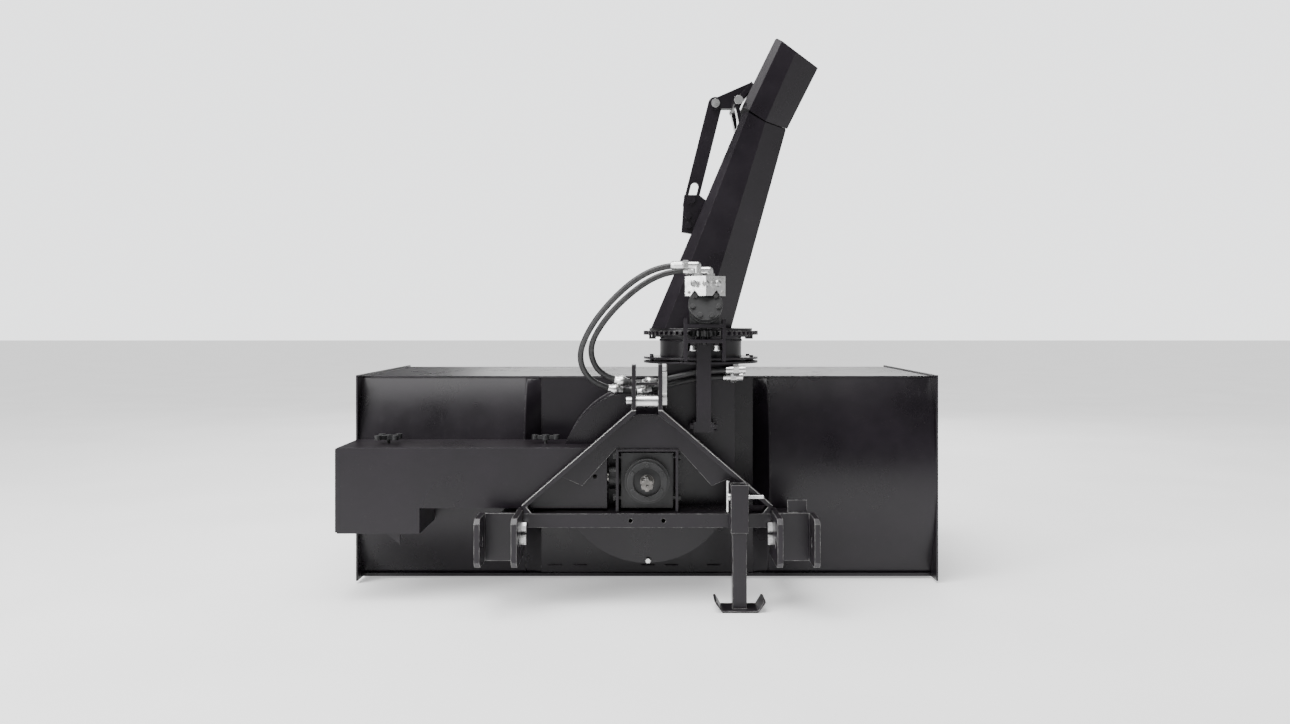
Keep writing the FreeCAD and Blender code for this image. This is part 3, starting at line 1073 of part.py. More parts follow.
def inset_points(half, thickness):
    """The same fold points moved inwards by the sheet thickness."""
    full = closed_outline(half)
    moved = []
    for k, here in enumerate(half):
        steps = [full[k + 1] - here]
        if k > 0:
            steps.append(here - full[k - 1])
        normals = [V(step.y, -step.x, 0).normalize() for step in steps]
        bisector = V(0, 0, 0)
        for normal in normals:
            bisector = bisector + normal
        bisector = bisector.normalize()
        moved.append(here - bisector * (thickness / bisector.dot(normals[0])))
    return moved


def channel_wire(folds, z, thickness):
    half = [at_height(low, high, z) for low, high in folds]
    outer = closed_outline(half)
    inner = closed_outline(inset_points(half, thickness))
    loop = outer + list(reversed(inner))
    return Part.makePolygon(loop + loop[:1])


def folded_channel(folds, z_low, z_high):
    """Channel of folded sheet between two level planes."""
    sections = [channel_wire(folds, z, CHUTE_SHEET) for z in (z_low, z_high)]
    return Part.makeLoft(sections, True, True)


def above(line, top):
    """Block that removes everything above a line drawn across the side view."""
    outline = line + [(line[-1][0] - 300, line[-1][1] + 170), (line[-1][0] - 300, top),
                      (line[0][0] + 300, top),
                      (line[0][0] + 300, line[0][1] - 70)]
    return plate_facing(outline, RING_Y - 400, RING_Y + 400)


chute_shell = folded_channel(CHUTE_FOLDS, CHUTE_BASE_Z, 1500.0).cut(above(CHUTE_MOUTH, 1800.0))

KNUCKLE_R = 14.0
knuckles = []
for y0 in (RING_Y - 92, RING_Y + 52):
    knuckle = sleeve((HINGE_X, y0, HINGE_Z), Y_AXIS, KNUCKLE_R, HINGE_PIN_R + RUN_CLEAR, 40)
    strap = slab([(HINGE_X + 4, y0, HINGE_Z - 12), (HINGE_X - 10, y0, HINGE_Z - 9),
                  (HINGE_X + 3, y0, HINGE_Z - 70),
                  (HINGE_X + 12, y0, HINGE_Z - 74)], (0, 40, 0))
    strap = hole(strap, (HINGE_X, y0 - 1, HINGE_Z), Y_AXIS, HINGE_PIN_R + RUN_CLEAR, 42)
    knuckles.append(knuckle.fuse(strap).cut(chute_shell))
write("chute_body", chute_shell, *knuckles)

pin_start = RING_Y - 106
hinge_pin = rod((HINGE_X, pin_start, HINGE_Z), Y_AXIS, HINGE_PIN_R, 212)
hinge_pin = hinge_pin.fuse(rod((HINGE_X, pin_start - 8, HINGE_Z), Y_AXIS, 13, 8))
write("deflector_hinge_pin", hinge_pin.removeSplitter())

# ---- deflector, its link and bracket -------------------------------------------------------
HOOD_GAP = 2.0
HOOD_FOLDS = [((436.0, 64.0, 1426.0), (515.0, 64.0, 1582.0)),
              ((354.0, 106.0, 1416.0), (444.0, 106.0, 1621.0)),
              ((306.0, 106.0, 1446.0), (404.0, 106.0, 1652.0)),
              ((290.0, 94.0, 1462.0), (389.0, 94.0, 1663.0))]
HOOD_FOOT = [(445.0, 1391.0 + HOOD_GAP), (354.0, 1411.0 + HOOD_GAP), (270.0, 1470.0)]
HOOD_MOUTH = [(515.0, 1582.0), (444.0, 1621.0), (389.0, 1663.0)]
hood = folded_channel(HOOD_FOLDS, 1350.0, 1750.0)
hood_keep = plate_facing(HOOD_FOOT + [(200.0, 1560.0)] + list(reversed(HOOD_MOUTH)) + [(620.0, 1540.0)],
                         RING_Y - 200, RING_Y + 200)
hood = hood.common(hood_keep)
def_knuckle = sleeve((HINGE_X, RING_Y - 50, HINGE_Z), Y_AXIS, KNUCKLE_R, HINGE_PIN_R + RUN_CLEAR, 100)
def_strap = slab([(HINGE_X - 4, RING_Y - 50, HINGE_Z + 12), (HINGE_X + 11, RING_Y - 50, HINGE_Z + 2),
                  (HINGE_X + 52, RING_Y - 50, HINGE_Z + 58), (HINGE_X + 44, RING_Y - 50, HINGE_Z + 68)], (0,
                                                                                                          100, 0))
def_strap = hole(def_strap, (HINGE_X, RING_Y - 51, HINGE_Z), Y_AXIS, HINGE_PIN_R + RUN_CLEAR, 102)
EAR_THICK = 8.0
ears = []
link_half = LINK_THICK / 2
for side in (-1, 1):
    y0 = RING_Y + side * (link_half + FREE) + (-EAR_THICK if side < 0 else 0)
    outline = [(LINK_TOP_X - 16, LINK_TOP_Z + 10), (LINK_TOP_X - 10, LINK_TOP_Z - 16),
               (LINK_TOP_X + 14, LINK_TOP_Z - 16),
               (HINGE_X - 12, HINGE_Z - 8), (HINGE_X, HINGE_Z + 4), (HINGE_X + 50,
                                                                     HINGE_Z + 66), (HINGE_X + 44,
                                                                                     HINGE_Z + 72)]
    ear_plate = plate_facing(outline, y0, y0 + EAR_THICK)
    ear_plate = hole(ear_plate, (HINGE_X, y0 - 1, HINGE_Z), Y_AXIS, HINGE_PIN_R + RUN_CLEAR, EAR_THICK + 2)
    ear_plate = hole(ear_plate, (LINK_TOP_X, y0 - 1, LINK_TOP_Z), Y_AXIS, LINK_PIN_R, EAR_THICK + 2)
    ears.append(ear_plate)
deflector = hood.fuse(def_knuckle).fuse(def_strap).fuse(ears[0]).fuse(ears[1])
deflector = hole(deflector, (HINGE_X, RING_Y - 200, HINGE_Z), Y_AXIS, HINGE_PIN_R + RUN_CLEAR, 400)
write("deflector", deflector.removeSplitter())

upper_pin = rod((LINK_TOP_X, RING_Y - link_half - FREE - EAR_THICK, LINK_TOP_Z), Y_AXIS, LINK_PIN_R,
                LINK_THICK + 2 * FREE + 2 * EAR_THICK)
upper_pin = upper_pin.fuse(rod((LINK_TOP_X, RING_Y - link_half - FREE - EAR_THICK - 8, LINK_TOP_Z), Y_AXIS,
                               13, 8))
write("link_upper_pin", upper_pin.removeSplitter())

link_vec = V(LINK_TOP_X - LINK_LOW_X, 0, LINK_TOP_Z - LINK_LOW_Z)
link_len = link_vec.Length
SLOT_R = 11.5
LOW_PIN_R = 8.0
TRAVEL_UP = 42.0
link = box(-LINK_WIDTH / 2, LINK_WIDTH / 2, RING_Y - link_half, RING_Y + link_half, -16.0, link_len)
link = link.fuse(rod((0, RING_Y - link_half, link_len), Y_AXIS, LINK_WIDTH / 2, LINK_THICK))
link = link.fuse(rod((0, RING_Y - link_half, -16.0), Y_AXIS, LINK_WIDTH / 2, LINK_THICK))
link = hole(link, (0, RING_Y - 50, link_len), Y_AXIS, LINK_PIN_R + RUN_CLEAR, 100)
slot = box(-SLOT_R, SLOT_R, RING_Y - 50, RING_Y + 50, 0, TRAVEL_UP)
slot = slot.fuse(rod((0, RING_Y - 50, 0), Y_AXIS, SLOT_R, 100)).fuse(rod((0, RING_Y - 50, TRAVEL_UP),
                                                                         Y_AXIS, SLOT_R, 100))
link = link.cut(slot)
link_tilt = math.degrees(math.atan2(link_vec.x, link_vec.z))
link.rotate(V(0, 0, 0), Y_AXIS, link_tilt)
link.translate(V(LINK_LOW_X, 0, LINK_LOW_Z))
write("deflector_link", link.removeSplitter())

bracket_plates = []
for side in (-1, 1):
    y0 = RING_Y + side * (link_half + FREE) + (-EAR_THICK if side < 0 else 0)
    outline = [(LINK_LOW_X - 22, LINK_LOW_Z + 14), (LINK_LOW_X - 30, 1090.0), (LINK_LOW_X + 6, 1084.0),
               (164.0, 1124.0), (190.0, 1180.0), (LINK_LOW_X + 24, LINK_LOW_Z + 14)]
    plate = plate_facing(outline, y0, y0 + EAR_THICK)
    plate = hole(plate, (LINK_LOW_X, y0 - 1, LINK_LOW_Z), Y_AXIS, LOW_PIN_R, EAR_THICK + 2)
    bracket_plates.append(plate.cut(chute_shell))
bracket_y = RING_Y - link_half - FREE - EAR_THICK
lower_pin = rod((LINK_LOW_X, bracket_y, LINK_LOW_Z), Y_AXIS, LOW_PIN_R, LINK_THICK + 2 * FREE + 2 * EAR_THICK)
lower_pin = lower_pin.fuse(rod((LINK_LOW_X, bracket_y - 8, LINK_LOW_Z), Y_AXIS, 13, 8))
side_bolts = [hexagon((126.0, bracket_y - 7, z), Y_AXIS, 19, 7) for z in (1139.0, 1110.0)]
write("deflector_bracket", *bracket_plates, lower_pin.removeSplitter(), *side_bolts)
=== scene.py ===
"""Rear-mounted tractor snow blower: finishes, hoses, welds, small fittings, floor, light and camera."""
import json
import math

import bmesh
import bpy
from mathutils import Matrix, Vector


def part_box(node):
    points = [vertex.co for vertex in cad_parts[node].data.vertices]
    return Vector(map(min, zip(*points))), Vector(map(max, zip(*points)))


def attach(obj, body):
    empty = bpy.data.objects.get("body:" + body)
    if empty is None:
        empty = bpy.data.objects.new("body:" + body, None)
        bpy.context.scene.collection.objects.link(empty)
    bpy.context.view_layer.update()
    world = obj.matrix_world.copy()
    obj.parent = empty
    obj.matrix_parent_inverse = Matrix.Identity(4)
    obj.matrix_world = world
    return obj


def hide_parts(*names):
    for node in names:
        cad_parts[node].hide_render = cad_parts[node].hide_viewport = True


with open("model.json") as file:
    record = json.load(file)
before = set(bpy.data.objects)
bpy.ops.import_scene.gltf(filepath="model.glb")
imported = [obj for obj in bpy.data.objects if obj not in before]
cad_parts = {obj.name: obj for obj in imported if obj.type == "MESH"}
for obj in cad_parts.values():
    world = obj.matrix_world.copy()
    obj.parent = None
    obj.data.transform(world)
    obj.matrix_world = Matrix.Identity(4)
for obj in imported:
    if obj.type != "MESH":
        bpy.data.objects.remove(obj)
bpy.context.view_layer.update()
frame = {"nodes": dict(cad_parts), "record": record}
NODES = frame["nodes"]
SLOT_OF = {part["node"]: part["material_slot"] for part in frame["record"]["subparts"]}


# ---------------------------------------------------------------- camera

CAMERA_AT = (0.0, -4.150, 0.82)
LENS_MM = 30.78
SENSOR_MM = 36.0
SHIFT = (-0.0016, -0.0326)


def make_camera():
    data = bpy.data.cameras.new("camera")
    data.lens = LENS_MM
    data.sensor_width = SENSOR_MM
    data.shift_x, data.shift_y = SHIFT
    data.clip_end = 200.0
    camera = bpy.data.objects.new("camera", data)
    camera.location = CAMERA_AT
    camera.rotation_euler = (math.radians(90), 0, 0)
    bpy.context.scene.collection.objects.link(camera)
    bpy.context.scene.camera = camera


# ---------------------------------------------------------------- material building

class Graph:
    """Adds nodes to one material and links them."""

    def __init__(self, name, metallic=0.0):
        self.material = bpy.data.materials.new(name)
        self.material.use_nodes = True
        self.tree = self.material.node_tree
        self.shader = self.tree.nodes["Principled BSDF"]
        self.shader.inputs["Metallic"].default_value = metallic
        self.place = self.node("ShaderNodeTexCoord").outputs["Object"]

    def node(self, kind, **settings):
        made = self.tree.nodes.new(kind)
        for key, value in settings.items():
            setattr(made, key, value)
        return made

    def link(self, source, target):
        self.tree.links.new(source, target)

    def noise(self, scale, detail=2.0, roughness=0.5, stretch=None):
        made = self.node("ShaderNodeTexNoise")
        made.inputs["Scale"].default_value = scale
        made.inputs["Detail"].default_value = detail
        made.inputs["Roughness"].default_value = roughness
        place = self.place
        if stretch:
            mapping = self.node("ShaderNodeMapping")
            mapping.inputs["Scale"].default_value = stretch
            self.link(place, mapping.inputs["Vector"])
            place = mapping.outputs["Vector"]
        self.link(place, made.inputs["Vector"])
        return made.outputs["Fac"]

    def cells(self, scale):
        made = self.node("ShaderNodeTexVoronoi")
        made.inputs["Scale"].default_value = scale
        self.link(self.place, made.inputs["Vector"])
        return made.outputs["Distance"]

    def span(self, value, low, high, out_low=0.0, out_high=1.0):
        made = self.node("ShaderNodeMapRange")
        made.inputs["From Min"].default_value = low
        made.inputs["From Max"].default_value = high
        made.inputs["To Min"].default_value = out_low
        made.inputs["To Max"].default_value = out_high
        self.link(value, made.inputs["Value"])
        return made.outputs["Result"]

    def maths(self, kind, first, second):
        made = self.node("ShaderNodeMath", operation=kind)
        for slot, value in enumerate((first, second)):
            if isinstance(value, (int, float)):
                made.inputs[slot].default_value = value
            else:
                self.link(value, made.inputs[slot])
        return made.outputs["Value"]

    def blend(self, share, first, second):
        made = self.node("ShaderNodeMix", data_type="RGBA")
        self.link(share, made.inputs["Factor"])
        for socket, value in ((made.inputs[6], first), (made.inputs[7], second)):
            if isinstance(value, tuple):
                socket.default_value = (*value, 1.0)
            else:
                self.link(value, socket)
        return made.outputs[2]

    def edges(self, radius):
        """(rounded normal, 0..1 share that is high along sharp edges)."""
        bevel = self.node("ShaderNodeBevel", samples=4)
        bevel.inputs["Radius"].default_value = radius
        geometry = self.node("ShaderNodeNewGeometry")
        dot = self.node("ShaderNodeVectorMath", operation="DOT_PRODUCT")
        self.link(bevel.outputs["Normal"], dot.inputs[0])
        self.link(geometry.outputs["Normal"], dot.inputs[1])
        return bevel.outputs["Normal"], self.span(dot.outputs["Value"], 0.98, 0.80)

    def upward(self, normal=None, low=0.2, high=1.0):
        """0..1 share that is high where the surface, or a given normal, faces up."""
        normal = normal or self.node("ShaderNodeNewGeometry").outputs["Normal"]
        split = self.node("ShaderNodeSeparateXYZ")
        self.link(normal, split.inputs["Vector"])
        return self.span(split.outputs["Z"], low, high)

    def bump(self, height, distance, strength=1.0, normal=None):
        made = self.node("ShaderNodeBump")
        made.inputs["Distance"].default_value = distance
        made.inputs["Strength"].default_value = strength
        self.link(height, made.inputs["Height"])
        if normal:
            self.link(normal, made.inputs["Normal"])
        return made.outputs["Normal"]

    def finish(self, colour, roughness, normal):
        self.link(colour, self.shader.inputs["Base Color"])
        self.link(roughness, self.shader.inputs["Roughness"])
        self.link(normal, self.shader.inputs["Normal"])
        return self.material


COAT_BLACK = (0.0050, 0.0038, 0.0055)
COAT_FADED = (0.0098, 0.0074, 0.0106)
COAT_SPECULAR = 0.34
COAT_GLOSS = 0.24
DUST_FILM = 0.10
DUST = (0.20, 0.19, 0.175)
BARE = (0.36, 0.36, 0.35)
BRIGHT = (0.86, 0.86, 0.85)
EDGE_RADIUS = 0.0012


def powder_coat(name, edge_wear_and_highlight=0.25, dusty=0.5, edge_radius=EDGE_RADIUS, bare=BARE, paint_upper_edge_highlight=False):
    """Black powder coat: orange peel, faint handling marks, dust specks and rubbed edges; with the upper-edge
    option the rubbed-edge colour is a painted highlight along the upper edges.
    """
    g = Graph(name)
    g.shader.inputs["Specular IOR Level"].default_value = COAT_SPECULAR
    rounded, edge = g.edges(edge_radius)
    patches = g.noise(5.0, 4.0, 0.6)
    marks = g.span(g.noise(60.0, 3.0, 0.7, (1.0, 1.0, 0.12)), 0.60, 0.78)
    specks = g.span(g.cells(260.0), 0.13, 0.05)
    sparse = g.span(g.noise(22.0, 2.0), 0.50, 0.68)
    specks = g.maths("MULTIPLY", g.maths("MULTIPLY", specks, sparse), dusty)
    settled = g.maths("MULTIPLY", g.upward(), g.span(g.noise(16.0, 6.0, 0.7), 0.30, 0.80))
    film = g.maths("MULTIPLY", settled, DUST_FILM * dusty)
    edge_rub_and_highlight = g.maths("MULTIPLY", edge, g.span(g.noise(45.0, 5.0, 0.7), 0.62 - edge_wear_and_highlight * 0.35, 0.72))
    # Upper-edge option: the pale colour on upward-facing edges is a painted highlight standing for reflected
    # light, not wear.
    if paint_upper_edge_highlight:
        edge_rub_and_highlight = g.maths("MULTIPLY", edge_rub_and_highlight, g.upward(rounded, 0.10, 0.45))
    colour = g.blend(g.span(patches, 0.3, 0.7), COAT_BLACK, COAT_FADED)
    colour = g.blend(film, colour, DUST)
    colour = g.blend(specks, colour, DUST)
    colour = g.blend(g.maths("MULTIPLY", edge_rub_and_highlight, edge_wear_and_highlight * 2.0), colour, bare)
    rough = g.span(patches, 0.3, 0.7, COAT_GLOSS, COAT_GLOSS + 0.12)
    rough = g.maths("ADD", rough, g.maths("MULTIPLY", marks, 0.10))
    rough = g.maths("ADD", rough, g.maths("MULTIPLY", specks, 0.4))
    peel = g.bump(g.noise(420.0, 2.0), 0.00010, 0.35, rounded)
    ripple = g.bump(g.noise(7.0, 1.0), 0.0020, 0.10, peel)
    return g.finish(colour, rough, ripple)


def bare_metal(name, tone, dark, rough_low, rough_high):
    """Plated or machined metal with fine grain, darker stains and bright edges."""
    g = Graph(name, metallic=1.0)
    rounded, edge = g.edges(0.0006)
    stains = g.noise(55.0, 5.0, 0.65)
    lines = g.noise(900.0)
    colour = g.blend(g.span(stains, 0.42, 0.70), tone, dark)
    colour = g.blend(g.maths("MULTIPLY", edge, 0.5), colour, BRIGHT)
    rough = g.span(stains, 0.3, 0.7, rough_low, rough_high)
    return g.finish(colour, rough, g.bump(lines, 0.00006, 0.5, rounded))


def cast_iron(name):
    """Painted casting: sandy skin under black enamel, patchy in tone, with the enamel rubbed pale along the
    edges.
    """
    g = Graph(name)
    rounded, edge = g.edges(0.0015)
    sand = g.noise(260.0, 4.0, 0.65)
    patches = g.noise(18.0, 4.0)
    colour = g.blend(g.span(patches, 0.35, 0.7), (0.0035, 0.0035, 0.0038), (0.011, 0.011, 0.0115))
    colour = g.blend(g.maths("MULTIPLY", edge, 0.25), colour, BARE)
    rough = g.span(sand, 0.3, 0.7, 0.36, 0.58)
    return g.finish(colour, rough, g.bump(sand, 0.00035, 0.55, rounded))


def worn_steel(name):
    """Ground-running steel: black paint rubbed through to scratched metal near the ground."""
    g = Graph(name, metallic=0.0)
    rounded, edge = g.edges(0.002)
    split = g.node("ShaderNodeSeparateXYZ")
    g.link(g.place, split.inputs["Vector"])
    low = g.span(split.outputs["Z"], 0.035, 0.004)
    scratch = g.noise(140.0, 5.0, 0.7, (0.06, 1.0, 1.0))
    bare = g.maths("MULTIPLY", low, g.span(scratch, 0.42, 0.56))
    bare = g.maths("MAXIMUM", bare, g.maths("MULTIPLY", edge, g.span(scratch, 0.5, 0.6)))
    colour = g.blend(bare, COAT_FADED, (0.30, 0.29, 0.28))
    g.link(g.maths("MULTIPLY", bare, 0.9), g.shader.inputs["Metallic"])
    rough = g.span(scratch, 0.3, 0.7, 0.30, 0.50)
    return g.finish(colour, rough, g.bump(scratch, 0.0002, 0.5, rounded))


def rubber(name):
    """Hose cover: matt black with the wrap marks of its cloth-cured skin."""
    g = Graph(name)
    wrap = g.node("ShaderNodeTexWave", wave_type="BANDS", bands_direction="DIAGONAL")
    wrap.inputs["Scale"].default_value = 90.0
    wrap.inputs["Distortion"].default_value = 0.6
    g.link(g.place, wrap.inputs["Vector"])
    scuff = g.noise(70.0, 5.0, 0.7)
    colour = g.blend(g.span(scuff, 0.45, 0.75), (0.012, 0.012, 0.013), (0.045, 0.044, 0.043))
    rough = g.span(scuff, 0.3, 0.7, 0.42, 0.62)
    weave = g.bump(wrap.outputs["Fac"], 0.00025, 0.6)
    return g.finish(colour, rough, g.bump(g.noise(800.0), 0.0001, 0.4, weave))


def moulded(name):
    """Moulded black plastic with a fine spark-eroded grain."""
    g = Graph(name)
    rounded, edge = g.edges(0.001)
    grain = g.noise(1100.0, 2.0)
    patches = g.noise(30.0, 3.0)
    colour = g.blend(g.span(patches, 0.4, 0.7), (0.013, 0.013, 0.014), (0.028, 0.028, 0.029))
    colour = g.blend(g.maths("MULTIPLY", edge, 0.15), colour, DUST)
    rough = g.span(patches, 0.3, 0.7, 0.38, 0.52)
    return g.finish(colour, rough, g.bump(grain, 0.00008, 0.6, rounded))


FLOOR_GLOW = 0.45


def floor_finish(name):
    """Pale matt floor, faintly mottled and a little luminous, so that it meets the backdrop softly."""
    g = Graph(name)
    mottle = g.noise(1.6, 3.0)
    colour = g.blend(g.span(mottle, 0.3, 0.7), (0.86, 0.86, 0.86), (0.90, 0.90, 0.90))
    rough = g.span(mottle, 0.3, 0.7, 0.60, 0.72)
    g.shader.inputs["Emission Color"].default_value = (1.0, 1.0, 1.0, 1.0)
    g.shader.inputs["Emission Strength"].default_value = FLOOR_GLOW
    return g.finish(colour, rough, g.bump(g.noise(90.0), 0.0002, 0.2))


def make_finishes():
    return {
        "powder_coat": powder_coat("powder_coat_black"),
        "wear_steel": worn_steel("worn_black_steel"),
        "drive_steel": bare_metal("machined_steel", (0.50, 0.49, 0.47), (0.27, 0.25, 0.23), 0.28, 0.46),
        "zinc": bare_metal("zinc_plate", (0.74, 0.74, 0.73), (0.48, 0.48, 0.49), 0.22, 0.40),
        "cast_black": cast_iron("painted_casting"),
        "hose_rubber": rubber("hose_cover"),
        "knob_plastic": moulded("moulded_black"),
    }


FINISH = make_finishes()
FRAME_COAT = powder_coat("powder_coat_rubbed", edge_wear_and_highlight=0.62, dusty=0.6, edge_radius=0.0026)
# Near-white painted highlight for the upper edges of the mast legs, broken up to look like chipped paint.
UPPER_EDGE_HIGHLIGHT = (0.72, 0.72, 0.70)
EDGE_HIGHLIGHT_COAT = powder_coat("powder_coat_edge_highlight", edge_wear_and_highlight=1.2, dusty=0.6, edge_radius=0.0055, bare=UPPER_EDGE_HIGHLIGHT,
                        paint_upper_edge_highlight=True)
CLEVIS_COAT = powder_coat("powder_coat_knocked", edge_wear_and_highlight=0.75, dusty=0.6, edge_radius=0.0035)
OILED_STEEL = bare_metal("oiled_steel", (0.20, 0.19, 0.18), (0.09, 0.09, 0.085), 0.34, 0.50)
# The mast legs get the coat with a painted highlight along their upper edges.
OTHER_FINISH = {"gearbox_bolts": FINISH["cast_black"], "input_shaft": OILED_STEEL, "mast_legs": EDGE_HIGHLIGHT_COAT,
                "left_lower_clevis": CLEVIS_COAT, "right_lower_clevis": CLEVIS_COAT,
                "mast_web_plate": CLEVIS_COAT, "jack_leg": CLEVIS_COAT, "jack_sleeve": CLEVIS_COAT}
RUBBED_NODES = ("mast_ears", "lower_cross_member", "chute_gear_ring", "auger_flighting",
                "fan_impeller", "deflector_link")


def paint_nodes():
    for node, target in NODES.items():
        material = FRAME_COAT if node in RUBBED_NODES else FINISH[SLOT_OF[node]]
        material = OTHER_FINISH.get(node, material)
        for slot in range(len(target.data.materials)):
            target.data.materials[slot] = material


# ---------------------------------------------------------------- hoses

HOSE_DIAMETER = 0.017
INLET_LENGTH = 0.926
OUTLET_LENGTH = 0.873
INLET = [(0.103, -1.022, 0.975), (0.048, -1.022, 0.975), (-0.030, -1.019, 0.940), (-0.106, -1.013, 0.872),
         (-0.166, -1.000, 0.795), (-0.200, -0.964, 0.714), (-0.172, -0.926, 0.644), (-0.096, -0.897, 0.612),
         (-0.008, -0.878, 0.608), (0.074, -0.872, 0.628), (0.150, -0.870, 0.648), (0.226, -0.870, 0.650)]
OUTLET = [(0.139, -0.990, 0.962), (0.078, -0.990, 0.962), (0.004, -0.987, 0.935), (-0.072, -0.982, 0.876),
          (-0.134, -0.966, 0.806), (-0.170, -0.935, 0.735), (-0.146, -0.907, 0.666), (-0.076, -0.896, 0.637),
          (0.008, -0.894, 0.634), (0.084, -0.898, 0.652), (0.160, -0.899, 0.670), (0.232, -0.900, 0.672)]


def hose(name, points, node):
    data = bpy.data.curves.new(name, "CURVE")
    data.dimensions = "3D"
    data.resolution_u = 16
    data.bevel_depth = HOSE_DIAMETER / 2
    data.bevel_resolution = 6
    spline = data.splines.new("NURBS")
    spline.points.add(len(points) - 1)
    for place, point in zip(points, spline.points):
        point.co = (*place, 1.0)
    spline.order_u = 3
    spline.use_endpoint_u = True
    made = bpy.data.objects.new(name, data)
    bpy.context.scene.collection.objects.link(made)
    data.materials.append(FINISH["hose_rubber"])
    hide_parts(node)
    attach(made, "frame")
    return made


def turned_piece(name, profile, at, direction, finish, sides=32, flutes=0, flute_depth=0.0):
    """Turned part on the frame: profile is (distance along direction, radius) pairs, and flutes press its
    wall in between crimps."""
    mesh = bpy.data.meshes.new(name)
    build = bmesh.new()
    rows = []
    for along, radius in profile:
        row = []
        for k in range(sides):
            angle = 2 * math.pi * k / sides
            pressed = flute_depth * (0.5 - 0.5 * math.cos(flutes * angle)) if flutes else 0.0
            reach = max(radius - pressed, 0.0)
            row.append(build.verts.new((reach * math.cos(angle), reach * math.sin(angle), along)))
        rows.append(row)
    for lower, upper in zip(rows, rows[1:]):
        for k in range(sides):
            build.faces.new((lower[k], lower[(k + 1) % sides], upper[(k + 1) % sides], upper[k]))
    build.faces.new(list(reversed(rows[0])))
    build.faces.new(rows[-1])
    for face in build.faces:
        face.smooth = len(face.verts) == 4
    build.to_mesh(mesh)
    build.free()
    mesh.materials.append(FINISH[finish])
    made = bpy.data.objects.new(name, mesh)
    turn = Vector(direction).to_track_quat("Z", "Y").to_matrix().to_4x4()
    made.matrix_world = Matrix.Translation(at) @ turn
    bpy.context.scene.collection.objects.link(made)
    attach(made, "frame")
    return made


def rounded_steps(steps, ease=0.0008):
    """Profile of a stepped shaft from (length, radius) steps, each step's corners eased."""
    profile = [(0.0, max(steps[0][1] - ease, 0.0))]
    along = 0.0
    for length, radius in steps:
        profile += [(along + ease, radius), (along + length - ease, radius)]
        along += length
    profile.append((along, max(steps[-1][1] - ease, 0.0)))
    return profile


FERRULE_STEPS = [(0.006, 0.0125), (0.026, 0.0122), (0.004, 0.0105)]
CRIMPS = 8
CRIMP_DEPTH = 0.0009
COUPLER_POINTS = (7, 8)
COUPLER_STEPS = [(0.010, 0.0105), (0.006, 0.0135), (0.014, 0.0150), (0.005, 0.0132), (0.009, 0.0112)]


def ferrule(name, points):
    """Crimped sleeve over the first stretch of a hose."""
    start = Vector(points[0])
    heading = (Vector(points[1]) - start).normalized()
    return turned_piece(name, rounded_steps(FERRULE_STEPS), start, heading, "zinc", 48, CRIMPS, CRIMP_DEPTH)


def coupler(name, points, k):
    """Quick coupler sleeve where the quadratic curve of the hose passes its control point k."""
    middle = Vector(points[k - 1]) * 0.125 + Vector(points[k]) * 0.75 + Vector(points[k + 1]) * 0.125
    heading = (Vector(points[k + 1]) - Vector(points[k - 1])).normalized()
    length = sum(step[0] for step in COUPLER_STEPS)
    return turned_piece(name, rounded_steps(COUPLER_STEPS), middle - heading * length / 2, heading, "zinc")


def make_hoses():
    for name, points, node, length in (("pressure_hose", INLET, "inlet_hose", INLET_LENGTH),
                                       ("return_hose", OUTLET, "outlet_hose", OUTLET_LENGTH)):
        line = hose(name, points, node)
        sleeves = [ferrule(name + "_ferrule", points)]
        sleeves += [coupler(name + "_coupler_" + str(k), points, k) for k in COUPLER_POINTS]


# ---------------------------------------------------------------- weld beads

BEAD_STEP = 0.0017
RIPPLE = 0.0046
BEAD_SIDES = 9
RIM_SHADOW_WIDTH = 0.009                 # width of the black bead painted round the drum's cover as the shadow line under its rim
STITCH_Z = 0.0415                # short welds along the foot of the centre plate
STITCH_LENGTH = 0.045
STITCH_X = (-0.315, -0.235, -0.02, 0.055, 0.19, 0.27)
DRUM_WELD_FOOT = 0.60
CLEVIS_WEB = 0.098               # front of a clevis to the face of its web
CLEVIS_PLATE = 0.016
CLEVIS_WELD = (0.008, 0.122)     # foot and head of a clevis weld above the clevis's lower edge
NECK_RADIUS = 0.125
NECK_SIDES = 40
TOP_SEAM_END = 0.02


def along_path(corners, step):
    """Evenly spaced points on the straight runs between the corners."""
    points = []
    for first, last in zip(corners, corners[1:]):
        run = Vector(last) - Vector(first)
        count = max(2, round(run.length / step))
        points += [Vector(first) + run * (k / count) for k in range(count)]
    points.append(Vector(corners[-1]))
    return points


def arc_path(centre, radius, start, end, y, step=0.02):
    """Corners of an arc that faces the tractor; angles in degrees from +X towards +Z."""
    count = max(4, round(math.radians(abs(end - start)) * radius / step))
    corners = []
    for k in range(count + 1):
        angle = math.radians(start + (end - start) * k / count)
        corners.append((centre[0] + radius * math.cos(angle), y, centre[1] + radius * math.sin(angle)))
    return corners


